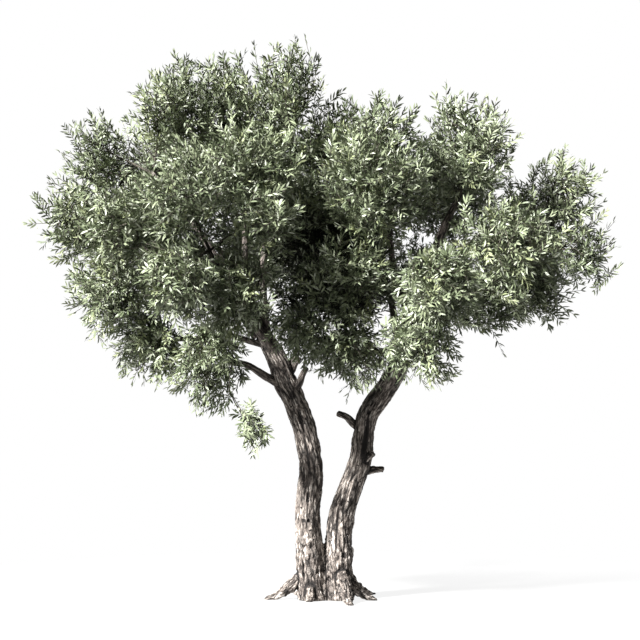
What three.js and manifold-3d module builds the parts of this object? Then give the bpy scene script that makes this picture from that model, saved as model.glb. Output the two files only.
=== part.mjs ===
// An olive tree whose two stems grow from one root, with its boughs and its masses of foliage.
// Millimetres, +Z up. The origin lies on the flat cut at ground level, under the foot of the tree.
// Headings are degrees in plan: 0 points along +X and 90 along +Y. Rises are degrees above the level.

import * as THREE from "three";
import { mergeVertices } from "three/addons/utils/BufferGeometryUtils.js";
import Module from "manifold-3d";

const wasm = await Module();
wasm.setup();

// ---- Driving sizes ----

const FORK_HEIGHT = 545; // the two stems part here
const JOINT_GAP = 0.3; // between a limb and what it grows from
const CLEARANCE = 4; // between a leaf or twig and any limb or neighbouring mass
const SLIVER = 0.1; // edges finer than this are closed up
const WANDER = 0.03; // how far a bough strays from a smooth run, as a share of its length

const STEM_SIDES = 11;
const STEM_RINGS = 13;
const BOUGH_SIDES = 6;
const BOUGH_RINGS = 6;
const ROOT_SIDES = 6;
const ROOT_RINGS = 3;
const STUB_SIDES = 6;
const STUB_RINGS = 3;

const SEED = 1940;
const TWIGS = 5; // side twigs on the stem of a mass of the usual radius, more or fewer with the mass's size
const USUAL_RADIUS = 440;
const SPRAY_LENGTH = 440; // one leaf stands for a whole spray
const SPRAY_SHARE = 1.1; // but is no longer than this share of its mass's radius
const SPRAY_WIDTH = 0.62; // of its own length
const SPRAY_THICKNESS = 0.04; // of its own length
const WIDEST = 0.45; // where along a leaf it is widest
const SHORTER = [1, 0.88, 0.76, 0.64, 0.52]; // a leaf is tried at these shares of its length until it fits
const FACING_TURN = 60; // degrees in plan between the way out of the crown and the way a leaf faces,
const FACING_STRAY = 0.9; // give or take this much of a unit vector
const STEM_LEAVES = 2; // leaves on the stem of a mass, with the one at its tip
const TWIG_LEAVES = 2; // and on each side twig
const TWIG_ROOT = 0.036; // radius of a mass's stem where it leaves the bough, as a share of the mass's radius
const ROOT_ASIDE = 0.5; // how far off the middle of a bough's tip a mass's stem begins, a share of its radius
const TWIG_TIP = 0.5; // of the radius at the root
const SIDE_TWIG = 0.45; // radius of a side twig, as a share of the stem's where it leaves
const REACH = 0.98; // leaf tips come this close to the edge of the mass's space
const LOW_CROWN = 2000; // twigs hang at this height,
const HIGH_CROWN = 4200; // and rise at this one

const UP = new THREE.Vector3(0, 0, 1);
const GOLDEN_ANGLE = Math.PI * (3 - Math.sqrt(5));

// Each stem's line from the ground up, and its radius there.
const stems = {
  left_stem: [
    [-115, 0, -60, 136],
    [-138, 0, 340, 126],
    [-165, -10, 750, 112],
    [-131, -15, 1160, 104],
    [-191, 5, 1495, 103],
    [-285, 30, 1762, 99],
    [-350, 45, 1900, 107],
    [-415, 55, 2080, 96],
    [-500, 60, 2240, 84],
    [-575, 60, 2345, 70],
  ],
  right_stem: [
    [126, 0, -60, 127],
    [120, 0, 340, 118],
    [129, 5, 695, 112],
    [215, 10, 975, 106],
    [298, 5, 1195, 100],
    [336, 0, 1440, 96],
    [372, -10, 1625, 93],
    [494, -25, 1816, 93],
    [605, -35, 1985, 92],
    [668, -40, 2135, 85],
    [700, -40, 2278, 70],
  ],
};

// The wood that fills the crotch between the two stems.
const crotch = { top: 560, radius: 96 };

// Roots that stand out of the foot: heading, reach from the middle of the foot, height and radius where they
// leave it, tapering to a share of that radius.
const ROOT_END = 0.32;
const roots = [
  { side: "left_stem", heading: 180, reach: 425, height: 270, radius: 74 },
  { side: "left_stem", heading: 112, reach: 430, height: 190, radius: 62 },
  { side: "left_stem", heading: -100, reach: 190, height: 210, radius: 80 },
  { side: "right_stem", heading: -79, reach: 450, height: 250, radius: 82 },
  { side: "right_stem", heading: -12, reach: 335, height: 200, radius: 62 },
  { side: "right_stem", heading: 52, reach: 520, height: 240, radius: 64 },
  { side: "right_stem", heading: 100, reach: 400, height: 200, radius: 70 },
];

// Dead limbs, sawn or broken off short, fused to their stem.
const stubs = [
  { stem: "left_stem", height: 1860, heading: 20, rise: 74, length: 300, radius: 48, tip: 41 },
  { stem: "right_stem", height: 1420, heading: 176, rise: 43, length: 320, radius: 38, tip: 26 },
  { stem: "right_stem", height: 1110, heading: -42, rise: 42, length: 262, radius: 42, tip: 24 },
  { stem: "right_stem", height: 1070, heading: 5, rise: 14, length: 268, radius: 42, tip: 27 },
];

// Boughs, in the order in which they are fitted: the stem each leaves and the height there, its heading, rise
// and length to the tip, its radius at both ends, and how steeply it comes in at the tip.
const boughs = [
  { name: "left_outer", stem: "left_stem", height: 2345, heading: 178, rise: 38, length: 1380,
    radius: 62, tip: 27, lift: 0.2 },
  { name: "left_upper", stem: "left_stem", height: 2225, heading: 175, rise: 56, length: 1930,
    radius: 46, tip: 24, lift: 0.1 },
  { name: "left_level", stem: "left_stem", height: 2225, heading: -169, rise: 5, length: 820,
    radius: 31, tip: 20, lift: -0.1 },
  { name: "left_low", stem: "left_stem", height: 1850, heading: -161, rise: 21, length: 660,
    radius: 46, tip: 23, lift: -0.4 },
  { name: "left_rising", stem: "left_stem", height: 2300, heading: 154, rise: 78, length: 1550,
    radius: 36, tip: 22, lift: 0 },
  { name: "left_inner", stem: "left_stem", height: 2270, heading: -3, rise: 83, length: 1760,
    radius: 40, tip: 22, lift: 0 },
  { name: "left_short", stem: "left_stem", height: 1770, heading: -51, rise: 55, length: 330,
    radius: 42, tip: 27, lift: 0.1 },
  { name: "left_front", stem: "left_stem", height: 2150, heading: -121, rise: 40, length: 1380,
    radius: 42, tip: 24, lift: 0.2 },
  { name: "left_back", stem: "left_stem", height: 2080, heading: 126, rise: 48, length: 1570,
    radius: 43, tip: 24, lift: 0.2 },
  { name: "right_main", stem: "right_stem", height: 2278, heading: 20, rise: 68, length: 1480,
    radius: 62, tip: 26, lift: 0.1 },
  { name: "right_outer", stem: "right_stem", height: 2225, heading: 0, rise: 35, length: 1530,
    radius: 45, tip: 23, lift: 0.2 },
  { name: "right_rising", stem: "right_stem", height: 2240, heading: -152, rise: 83, length: 1450,
    radius: 38, tip: 22, lift: 0 },
  { name: "right_inner", stem: "right_stem", height: 2170, heading: 131, rise: 60, length: 1430,
    radius: 36, tip: 21, lift: 0.1 },
  { name: "right_low", stem: "right_stem", height: 2150, heading: -175, rise: 5, length: 450,
    radius: 30, tip: 18, lift: 0.3 },
  { name: "right_front", stem: "right_stem", height: 2120, heading: -68, rise: 32, length: 1030,
    radius: 40, tip: 23, lift: 0.1 },
  { name: "right_back", stem: "right_stem", height: 2180, heading: 56, rise: 43, length: 1560,
    radius: 40, tip: 23, lift: 0.2 },
];

// Masses of foliage: the bough whose tip carries each, the way from that tip to the middle of the mass, and
// its radius. A tall mass is stretched upwards, and a spur is one long shoot that stands out of the mass.
const masses = [
  { name: "low_middle", bough: "left_low", heading: -114, rise: -3, away: 242, radius: 400, tall: 1.25 },
  { name: "hanging", bough: "left_low", heading: -44, rise: -55, away: 726, radius: 225, tall: 1.1 },
  { name: "left_foot", bough: "left_level", heading: -163, rise: 28, away: 762, radius: 400, tall: 1.05 },
  { name: "low_left", bough: "left_level", heading: -170, rise: -11, away: 292, radius: 365, tall: 1.12 },
  { name: "left_tip", bough: "left_outer", heading: -171, rise: 16, away: 705, radius: 400, tall: 1.1 },
  { name: "left_face", bough: "left_outer", heading: -98, rise: 6, away: 810, radius: 420 },
  { name: "left_rear", bough: "left_outer", heading: 117, rise: 8, away: 740, radius: 500 },
  { name: "upper_outer", bough: "left_upper", heading: 167, rise: 16, away: 489, radius: 385, tall: 1.32,
    spur: { heading: -136, rise: 29, reach: 490 } },
  { name: "upper_left", bough: "left_upper", heading: -58, rise: 54, away: 691, radius: 415, tall: 1.12 },
  { name: "upper_rear", bough: "left_upper", heading: 86, rise: 10, away: 860, radius: 535 },
  { name: "top_left", bough: "left_rising", heading: -158, rise: 78, away: 636, radius: 465, tall: 1.08 },
  { name: "top_face", bough: "left_rising", heading: -84, rise: 2, away: 1010, radius: 420 },
  { name: "top_rear", bough: "left_rising", heading: 81, rise: 20, away: 860, radius: 515 },
  { name: "top_peak", bough: "left_inner", heading: -113, rise: 72, away: 543, radius: 425, tall: 1.2 },
  { name: "top_saddle", bough: "left_inner", heading: 7, rise: 15, away: 396, radius: 390, tall: 1.1 },
  { name: "between", bough: "left_short", heading: -95, rise: 46, away: 436, radius: 335, tall: 1.2 },
  { name: "face_upper", bough: "left_front", heading: -116, rise: 44, away: 620, radius: 460, tall: 1.1 },
  { name: "face_lower", bough: "left_front", heading: -111, rise: -32, away: 632, radius: 430 },
  { name: "face_clump", bough: "left_front", heading: -32, rise: 17, away: 600, radius: 285, tall: 1.15 },
  { name: "face_inner", bough: "left_front", heading: -29, rise: -64, away: 473, radius: 385 },
  { name: "rear_left", bough: "left_back", heading: 139, rise: -20, away: 730, radius: 545 },
  { name: "rear_middle", bough: "left_back", heading: 58, rise: 1, away: 710, radius: 530 },
  { name: "low_inner", bough: "right_low", heading: -95, rise: -9, away: 206, radius: 375, tall: 1.2 },
  { name: "heart_low", bough: "right_low", heading: -102, rise: 62, away: 553, radius: 430 },
  { name: "heart", bough: "right_inner", heading: -123, rise: -6, away: 524, radius: 480 },
  { name: "rear_heart", bough: "right_inner", heading: 93, rise: -1, away: 750, radius: 520 },
  { name: "crest", bough: "right_rising", heading: -121, rise: 70, away: 438, radius: 385, tall: 1.12 },
  { name: "crest_face", bough: "right_rising", heading: -105, rise: -4, away: 494, radius: 370, tall: 1.2 },
  { name: "crown_right", bough: "right_main", heading: -42, rise: 81, away: 539, radius: 415, tall: 1.12,
    spur: { heading: -162, rise: 44, reach: 455 } },
  { name: "crown_outer", bough: "right_main", heading: -60, rise: 42, away: 623, radius: 262, tall: 1.3 },
  { name: "crown_rear", bough: "right_main", heading: 93, rise: 13, away: 870, radius: 515 },
  { name: "right_shoulder", bough: "right_outer", heading: 45, rise: 62, away: 594, radius: 395, tall: 1.18,
    spur: { heading: -43, rise: 18, reach: 460 } },
  { name: "right_tip", bough: "right_outer", heading: 7, rise: -2, away: 400, radius: 330, tall: 1.25 },
  { name: "right_foot", bough: "right_outer", heading: -105, rise: -51, away: 504, radius: 365 },
  { name: "right_face", bough: "right_outer", heading: -112, rise: 0, away: 870, radius: 420 },
  { name: "front_right", bough: "right_front", heading: -97, rise: -2, away: 504, radius: 415, tall: 1.02 },
  { name: "front_low", bough: "right_front", heading: 166, rise: -65, away: 466, radius: 385, tall: 1.3 },
  { name: "front_outer", bough: "right_front", heading: 21, rise: -10, away: 436, radius: 365,
    spur: { heading: 23, rise: -74, reach: 450 } },
  { name: "rear_right", bough: "right_back", heading: 9, rise: -8, away: 640, radius: 515 },
  { name: "rear_right_low", bough: "right_back", heading: 115, rise: -39, away: 630, radius: 525 },
];

// ---- Materials ----

const bark = new THREE.MeshStandardMaterial({ color: 0x82786f, roughness: 0.95, metalness: 0 });
const youngBark = new THREE.MeshStandardMaterial({ color: 0x6f665d, roughness: 0.9, metalness: 0 });
const foliage = new THREE.MeshStandardMaterial({ color: 0x6f7660, roughness: 0.6, metalness: 0 });
foliage.side = THREE.DoubleSide;

// ---- Small helpers ----

// The same numbers in the same order for the same seed.
function seeded(seed) {
  let state = seed >>> 0;
  return () => {
    state = (state + 0x6d2b79f5) >>> 0;
    let t = Math.imul(state ^ (state >>> 15), state | 1);
    t ^= t + Math.imul(t ^ (t >>> 7), t | 61);
    return ((t ^ (t >>> 14)) >>> 0) / 4294967296;
  };
}

function lerp(from, to, share) {
  return from + (to - from) * share;
}

// The unit vector with a heading and a rise in degrees.
function towards(heading, rise) {
  const h = THREE.MathUtils.degToRad(heading);
  const r = THREE.MathUtils.degToRad(rise);
  return new THREE.Vector3(Math.cos(h) * Math.cos(r), Math.sin(h) * Math.cos(r), Math.sin(r));
}

// Two unit vectors square to an axis and to each other, such that across x over = axis.
function squareTo(axis) {
  const guide = Math.abs(axis.z) < 0.9 ? UP : new THREE.Vector3(1, 0, 0);
  const across = new THREE.Vector3().crossVectors(guide, axis).normalize();
  const over = new THREE.Vector3().crossVectors(axis, across);
  return [across, over];
}

// ---- Solids ----

function solidOf(geometry) {
  const bare = new THREE.BufferGeometry().setAttribute("position", geometry.getAttribute("position"));
  bare.setIndex(geometry.index);
  const merged = mergeVertices(bare, 1e-3);
  return new wasm.Manifold(
    new wasm.Mesh({
      numProp: 3,
      vertProperties: merged.getAttribute("position").array,
      triVerts: new Uint32Array(merged.index.array),
    }),
  );
}

function geometryOf(solid) {
  const mesh = solid.getMesh();
  const geometry = new THREE.BufferGeometry();
  geometry.setAttribute("position", new THREE.BufferAttribute(mesh.vertProperties, 3));
  geometry.setIndex(new THREE.BufferAttribute(mesh.triVerts, 1));
  geometry.computeVertexNormals();
  return geometry;
}

// The largest piece of a solid: what a cut leaves loose is dropped, and so are its finest slivers.
function largestPiece(solid) {
  const pieces = solid.simplify(SLIVER).decompose();
  return pieces.reduce((best, piece) => (piece.volume() > best.volume() ? piece : best));
}

function union(solids) {
  return wasm.Manifold.union(solids);
}

// A closed tube along a line of points, with its own radius at each. A last radius of 0 ends it in a point.
function tube(points, radii, sides) {
  const last = points.length - 1;
  const vertices = [];
  const faces = [];
  let across = null;
  points.forEach((point, i) => {
    const before = points[Math.max(i - 1, 0)];
    const after = points[Math.min(i + 1, last)];
    const run = new THREE.Vector3().subVectors(after, before).normalize();
    across = across ? across.clone().addScaledVector(run, -across.dot(run)).normalize() : squareTo(run)[0];
    const over = new THREE.Vector3().crossVectors(run, across);
    if (radii[i] === 0) {
      vertices.push(point.clone());
      return;
    }
    for (let k = 0; k < sides; k++) {
      const angle = (k / sides) * 2 * Math.PI;
      const corner = point.clone().addScaledVector(across, radii[i] * Math.cos(angle));
      vertices.push(corner.addScaledVector(over, radii[i] * Math.sin(angle)));
    }
  });
  const pointed = radii[last] === 0;
  for (let k = 0; k < sides; k++) {
    const next = (k + 1) % sides;
    for (let i = 0; i < last - (pointed ? 1 : 0); i++) {
      const low = i * sides;
      const high = low + sides;
      faces.push([low + k, low + next, high + next], [low + k, high + next, high + k]);
    }
    if (pointed) faces.push([(last - 1) * sides + k, (last - 1) * sides + next, last * sides]);
  }
  for (let k = 1; k < sides - 1; k++) {
    faces.push([0, k + 1, k]);
    if (!pointed) faces.push([last * sides, last * sides + k, last * sides + k + 1]);
  }
  const geometry = new THREE.BufferGeometry().setFromPoints(vertices);
  geometry.setIndex(faces.flat());
  return solidOf(geometry);
}

// The same tube made larger all round and at both ends.
function grownTube(points, radii, sides, grown) {
  const last = points.length - 1;
  const back = new THREE.Vector3().subVectors(points[0], points[1]).setLength(grown);
  const onward = new THREE.Vector3().subVectors(points[last], points[last - 1]).setLength(grown);
  const longer = points.map((point) => point.clone());
  longer[0].add(back);
  longer[last].add(onward);
  const outward = grown / Math.cos(Math.PI / sides);
  return tube(longer, radii.map((radius) => (radius > 0 ? radius + outward : 0)), sides);
}

// A block of space between two heights, far wider than the tree.
function slab(low, high) {
  const width = 20000;
  return solidOf(new THREE.BoxGeometry(width, width, high - low).translate(0, 0, (low + high) / 2));
}

// ---- Stems ----

// A stem's line and radii at even steps, through its listed places.
function stemLine(name, steps) {
  const places = stems[name];
  const curve = new THREE.CatmullRomCurve3(
    places.map(([x, y, z]) => new THREE.Vector3(x, y, z)),
    false,
    "catmullrom",
  );
  const last = places.length - 1;
  const points = [];
  const radii = [];
  for (let i = 0; i <= steps; i++) {
    const at = (i / steps) * last;
    const below = Math.min(Math.floor(at), last - 1);
    points.push(curve.getPoint(i / steps));
    radii.push(lerp(places[below][3], places[below + 1][3], at - below));
  }
  return { points, radii };
}

// The point of a stem's line at a height, with the direction in which the stem runs there.
function onStem(name, height) {
  const { points } = stemLine(name, 200);
  const found = points.findIndex((point) => point.z >= height);
  const above = found < 1 ? points.length - 1 : found;
  const run = new THREE.Vector3().subVectors(points[above], points[above - 1]).normalize();
  return { point: points[above].clone(), run };
}

function stemSolid(name, grown = 0) {
  const { points, radii } = stemLine(name, STEM_RINGS);
  return grownTube(points, radii, STEM_SIDES, grown);
}

// ---- Roots and stubs ----

// A root leaves its stem sloping down, runs out along the ground and ends just under it.
function rootSolid(root) {
  const foot = onStem(root.side, 1).point;
  const out = towards(root.heading, 0);
  const points = [];
  const radii = [];
  for (let i = 0; i <= ROOT_RINGS; i++) {
    const share = i / ROOT_RINGS;
    const height = root.height * (1 - share) ** 1.6;
    points.push(foot.clone().addScaledVector(out, lerp(30, root.reach, share)).setZ(height));
    radii.push(lerp(root.radius, root.radius * ROOT_END, share));
  }
  return tube(points, radii, ROOT_SIDES);
}

function crotchSolid() {
  const points = [-60, crotch.top * 0.55, crotch.top].map((height) => new THREE.Vector3(2, 0, height));
  return tube(points, [crotch.radius, crotch.radius * 0.7, 0], STEM_SIDES);
}

function stubSolid(stub, grown = 0) {
  const { point, run } = onStem(stub.stem, stub.height);
  const out = towards(stub.heading, stub.rise);
  const bend = run.clone().multiplyScalar(stub.length * 0.12);
  const points = [];
  const radii = [];
  for (let i = 0; i <= STUB_RINGS; i++) {
    const share = i / STUB_RINGS;
    const straight = point.clone().addScaledVector(out, stub.length * share);
    points.push(straight.addScaledVector(bend, Math.sin(Math.PI * share)));
    radii.push(lerp(stub.radius, stub.tip, share));
  }
  return grownTube(points, radii, STUB_SIDES, grown);
}

// ---- Boughs ----

// A bough leaves its stem partly along the stem's own run, then takes its own course, and wanders a little on
// the way.
function boughLine(bough, steps) {
  const { point: start, run } = onStem(bough.stem, bough.height);
  const course = towards(bough.heading, bough.rise);
  const tip = start.clone().addScaledVector(course, bough.length);
  const leave = run.clone().multiplyScalar(0.45).addScaledVector(course, 0.55).normalize();
  const arrive = course.clone().addScaledVector(UP, bough.lift).normalize();
  const curve = new THREE.CubicBezierCurve3(
    start,
    start.clone().addScaledVector(leave, bough.length * 0.33),
    tip.clone().addScaledVector(arrive, -bough.length * 0.33),
    tip,
  );
  const random = seeded(SEED + boughs.indexOf(bough));
  const [across, over] = squareTo(course);
  const phases = [random() * 2 * Math.PI, random() * 2 * Math.PI];
  const points = [];
  for (let i = 0; i <= steps; i++) {
    const share = i / steps;
    const stray = Math.sin(Math.PI * share) * WANDER * bough.length;
    points.push(
      curve
        .getPoint(share)
        .addScaledVector(across, stray * Math.sin(9 * share + phases[0]))
        .addScaledVector(over, stray * Math.sin(6 * share + phases[1])),
    );
  }
  return points;
}

function boughSolid(bough, grown = 0) {
  const points = boughLine(bough, BOUGH_RINGS);
  const radii = points.map((_, i) => lerp(bough.radius, bough.tip, i / BOUGH_RINGS));
  return grownTube(points, radii, BOUGH_SIDES, grown);
}

// ---- Masses of foliage ----

// Each mass with its middle, the place on the bough's tip where its stem begins, and the half axes of its
// space.
const spaces = masses.map((mass, index) => {
  const bough = boughs.find(({ name }) => name === mass.bough);
  const [before, tip] = boughLine(bough, BOUGH_RINGS).slice(-2);
  const leave = new THREE.Vector3().subVectors(tip, before).normalize();
  const pole = towards(mass.heading, mass.rise);
  const aside = pole.clone().addScaledVector(leave, -pole.dot(leave)).setLength(bough.tip * ROOT_ASIDE);
  return {
    ...mass,
    root: tip.clone().addScaledVector(leave, -bough.tip).add(aside),
    leave,
    pole,
    middle: tip.clone().addScaledVector(pole, mass.away),
    half: new THREE.Vector3(mass.radius, mass.radius, mass.radius * (mass.tall ?? 1)),
    seed: SEED + 100 + index,
  };
});

// How far a point is from the wall between two neighbouring masses, on the first one's side.
function insideWall(space, other, point) {
  const apart = space.middle.distanceTo(other.middle);
  const own = point.distanceToSquared(space.middle) - space.radius ** 2;
  const theirs = point.distanceToSquared(other.middle) - other.radius ** 2;
  return (theirs - own) / (2 * apart);
}

function insideWalls(space, point) {
  return spaces.every((other) => other === space || insideWall(space, other, point) >= CLEARANCE);
}

function insideSpace(space, point) {
  const from = new THREE.Vector3().subVectors(point, space.middle).divide(space.half);
  return from.length() <= 1 && insideWalls(space, point);
}

// Twigs hang in the low crown and rise in the high crown.
function riseAt(height) {
  const share = THREE.MathUtils.clamp((height - LOW_CROWN) / (HIGH_CROWN - LOW_CROWN), 0, 1);
  return lerp(-0.35, 0.55, share);
}

// The furthest point of a mass's space in a direction, drawn in until it is clear of the neighbours.
function edgeOfSpace(space, direction) {
  for (let share = REACH; share > 0.3; share -= 0.06) {
    const point = space.middle.clone().addScaledVector(direction.clone().multiply(space.half), share);
    if (insideSpace(space, point)) return point;
  }
  return null;
}

// Directions spread evenly from the pole to well past the equator, as seeds sit in a sunflower.
function spread(count, pole, turn) {
  const [across, over] = squareTo(pole);
  return Array.from({ length: count }, (_, i) => {
    const along = 1 - ((i + 0.6) / count) * 1.7;
    const ring = Math.sqrt(1 - along * along);
    const angle = i * GOLDEN_ANGLE + turn;
    return pole
      .clone()
      .multiplyScalar(along)
      .addScaledVector(across, ring * Math.cos(angle))
      .addScaledVector(over, ring * Math.sin(angle));
  });
}

function sprayLength(space) {
  return Math.min(SPRAY_LENGTH, space.radius * SPRAY_SHARE);
}

// The place at a share of a line's length of steps, with the direction in which the line runs there.
function alongLine(points, share) {
  const at = share * (points.length - 1);
  const below = Math.min(Math.floor(at), points.length - 2);
  return {
    place: points[below].clone().lerp(points[below + 1], at - below),
    run: new THREE.Vector3().subVectors(points[below + 1], points[below]).normalize(),
  };
}

// The stem of a mass: from its bough's tip, through the middle of the mass, towards its far side.
function massStem(space) {
  const course = space.pole.clone().addScaledVector(UP, riseAt(space.middle.z)).normalize();
  const target = edgeOfSpace(space, course) ?? space.middle.clone();
  const end = target.clone().addScaledVector(course, -sprayLength(space) * 0.9);
  const leave = space.pole.clone().addScaledVector(space.leave, 0.45).normalize();
  const bend = space.root.clone().addScaledVector(leave, space.root.distanceTo(end) * 0.45);
  return { points: new THREE.QuadraticBezierCurve3(space.root, bend, end).getPoints(3), target };
}

// The twigs of one mass, its stem first, each with its line, its radius at the root, and the point that its
// end leaf reaches for.
function growTwigs(space) {
  const random = seeded(space.seed);
  const stem = massStem(space);
  const stemRadius = space.radius * TWIG_ROOT;
  const twigs = [{ points: stem.points, radius: stemRadius, target: stem.target, leaves: STEM_LEAVES }];
  const count = Math.round(TWIGS * (space.radius / USUAL_RADIUS) ** 1.6);
  const reaches = spread(count, space.pole, random() * 2 * Math.PI).map((direction) => ({
    target: edgeOfSpace(space, direction),
    share: 0.66 + 0.26 * direction.dot(space.pole),
    leaves: TWIG_LEAVES,
  }));
  if (space.spur) {
    const { heading, rise, reach } = space.spur;
    const target = space.middle.clone().addScaledVector(towards(heading, rise), reach);
    reaches.push({ target, share: 0.6, leaves: TWIG_LEAVES, isSpur: true });
  }
  for (const reach of reaches.filter(({ target }) => target)) {
    const { place } = alongLine(stem.points, reach.share);
    const course = new THREE.Vector3().subVectors(reach.target, place);
    const spray = Math.min(sprayLength(space), course.length() * 0.8);
    const end = reach.target.clone().addScaledVector(course.normalize(), -spray * 0.93);
    const radius = stemRadius * lerp(1, TWIG_TIP, reach.share) * SIDE_TWIG;
    twigs.push({ ...reach, points: [place, end], radius });
  }
  return { twigs, random };
}

function twigSolid(twig, grown = 0) {
  const last = twig.points.length - 1;
  const radii = twig.points.map((_, i) => (i < last ? twig.radius * lerp(1, TWIG_TIP, i / last) : 0));
  return grownTube(twig.points, radii, 3, grown);
}

// A leaf blade that stands for a spray: eight faces, widest before its middle.
function leafGeometry(root, tip, facing, width) {
  const length = root.distanceTo(tip);
  const along = new THREE.Vector3().subVectors(tip, root).normalize();
  const side = new THREE.Vector3().crossVectors(facing, along).normalize();
  const face = new THREE.Vector3().crossVectors(along, side);
  const geometry = new THREE.OctahedronGeometry(1);
  const position = geometry.getAttribute("position");
  for (let v = 0; v < position.count; v++) {
    const atEnd = Math.abs(position.getX(v)) > 0.5;
    if (!atEnd) position.setX(v, WIDEST * 2 - 1);
  }
  const frame = new THREE.Matrix4().makeBasis(
    along.clone().multiplyScalar(length / 2),
    side.clone().multiplyScalar((length * width) / 2),
    face.clone().multiplyScalar((length * SPRAY_THICKNESS) / 2),
  );
  frame.setPosition(root.clone().lerp(tip, 0.5));
  return geometry.applyMatrix4(frame);
}

// The leaves of one twig: one at its tip, and others back along it, each turned on by the golden angle.
function growLeaves(space, twig, random) {
  const tipRoot = alongLine(twig.points, 1 - 0.1 / (twig.points.length - 1)).place;
  const wishes = [{ root: tipRoot, tip: twig.target }];
  const turn = random() * 2 * Math.PI;
  for (let i = 1; i < twig.leaves; i++) {
    const { place, run } = alongLine(twig.points, lerp(0.75, 0.45, (i - 1) / twig.leaves));
    const [across, over] = squareTo(run);
    const angle = turn + i * GOLDEN_ANGLE;
    const out = new THREE.Vector3().subVectors(place, space.middle).divideScalar(space.radius);
    const course = run
      .multiplyScalar(0.3)
      .addScaledVector(across, Math.cos(angle))
      .addScaledVector(over, Math.sin(angle))
      .addScaledVector(out, 1.1)
      .normalize();
    const length = sprayLength(space) * lerp(0.85, 1.05, random());
    wishes.push({ root: place, tip: place.clone().addScaledVector(course, length) });
  }
  return wishes;
}

function verticesInside(space, geometry, mayStandOut) {
  const position = geometry.getAttribute("position");
  const point = new THREE.Vector3();
  for (let v = 0; v < position.count; v++) {
    point.fromBufferAttribute(position, v);
    if (mayStandOut ? !insideWalls(space, point) : !insideSpace(space, point)) return false;
  }
  return true;
}

// A mass as one solid. A leaf that would leave the space or touch a limb is tried shorter, and then skipped.
function massSolid(space, limbs, seat) {
  const { twigs, random } = growTwigs(space);
  const kept = [twigSolid(twigs[0]).subtract(seat)];
  twigs.forEach((twig, index) => {
    const solid = twigSolid(twig);
    if (index > 0) {
      if (solid.minGap(limbs, CLEARANCE) < CLEARANCE) return;
      kept.push(solid);
    }
    for (const { root, tip } of growLeaves(space, twig, random)) {
      for (const share of SHORTER) {
        const turn = THREE.MathUtils.degToRad(random() < 0.5 ? -FACING_TURN : FACING_TURN);
        const facing = new THREE.Vector3(root.x, root.y, 0).normalize().applyAxisAngle(UP, turn);
        const stray = new THREE.Vector3(random() - 0.5, random() - 0.5, random() - 0.5);
        facing.add(stray.multiplyScalar(FACING_STRAY));
        const end = root.clone().lerp(tip, share);
        const leaf = leafGeometry(root, end, facing, SPRAY_WIDTH);
        if (!verticesInside(space, leaf, twig.isSpur)) continue;
        const blade = solidOf(leaf);
        if (blade.minGap(limbs, CLEARANCE) < CLEARANCE) continue;
        kept.push(blade);
        break;
      }
    }
  });
  return largestPiece(union(kept));
}

// ---- The tree ----

const tree = new THREE.Group();
tree.name = "olive_tree";

function addNode(name, solid, material) {
  const mesh = new THREE.Mesh(geometryOf(solid), material);
  mesh.name = name;
  tree.add(mesh);
}

const wholeStems = {};
const grownStems = {};
for (const name of Object.keys(stems)) {
  const ownStubs = stubs.filter((stub) => stub.stem === name);
  wholeStems[name] = union([stemSolid(name), ...ownStubs.map((stub) => stubSolid(stub))]);
  const grownStubs = ownStubs.map((stub) => stubSolid(stub, JOINT_GAP));
  grownStems[name] = union([stemSolid(name, JOINT_GAP), ...grownStubs]);
}

const foot = union([...Object.values(wholeStems), crotchSolid(), ...roots.map(rootSolid)]);
addNode("foot", largestPiece(foot.intersect(slab(0, FORK_HEIGHT))), bark);
for (const [name, solid] of Object.entries(wholeStems)) {
  const upper = solid.intersect(slab(FORK_HEIGHT + JOINT_GAP, 5000));
  addNode(name, largestPiece(upper), bark);
}

// Each bough is cut back from the stems and from the boughs fitted before it.
const fitted = Object.values(grownStems);
const grownBoughs = {};
const limbSolids = [];
for (const bough of boughs) {
  const solid = largestPiece(boughSolid(bough).subtract(union(fitted)));
  grownBoughs[bough.name] = boughSolid(bough, JOINT_GAP);
  fitted.push(grownBoughs[bough.name]);
  limbSolids.push(solid);
  addNode(`bough_${bough.name}`, solid, youngBark);
}

// A mass keeps clear of every limb, and of the stems of the other masses. Its own stem is cut back from its
// bough and from the stems already fitted there.
const massStems = spaces.map((space) => twigSolid(growTwigs(space).twigs[0], JOINT_GAP));
spaces.forEach((space, index) => {
  const otherStems = massStems.filter((_, other) => other !== index);
  const limbs = union([...Object.values(wholeStems), ...limbSolids, ...otherStems]);
  const seat = union([grownBoughs[space.bough], ...massStems.slice(0, index)]);
  addNode(`foliage_${space.name}`, massSolid(space, limbs, seat), foliage);
});

export default tree;
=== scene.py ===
import math

import bpy
import numpy as np
from bpy.props import FloatProperty, FloatVectorProperty, IntProperty, PointerProperty
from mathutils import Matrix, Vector, noise


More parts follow.
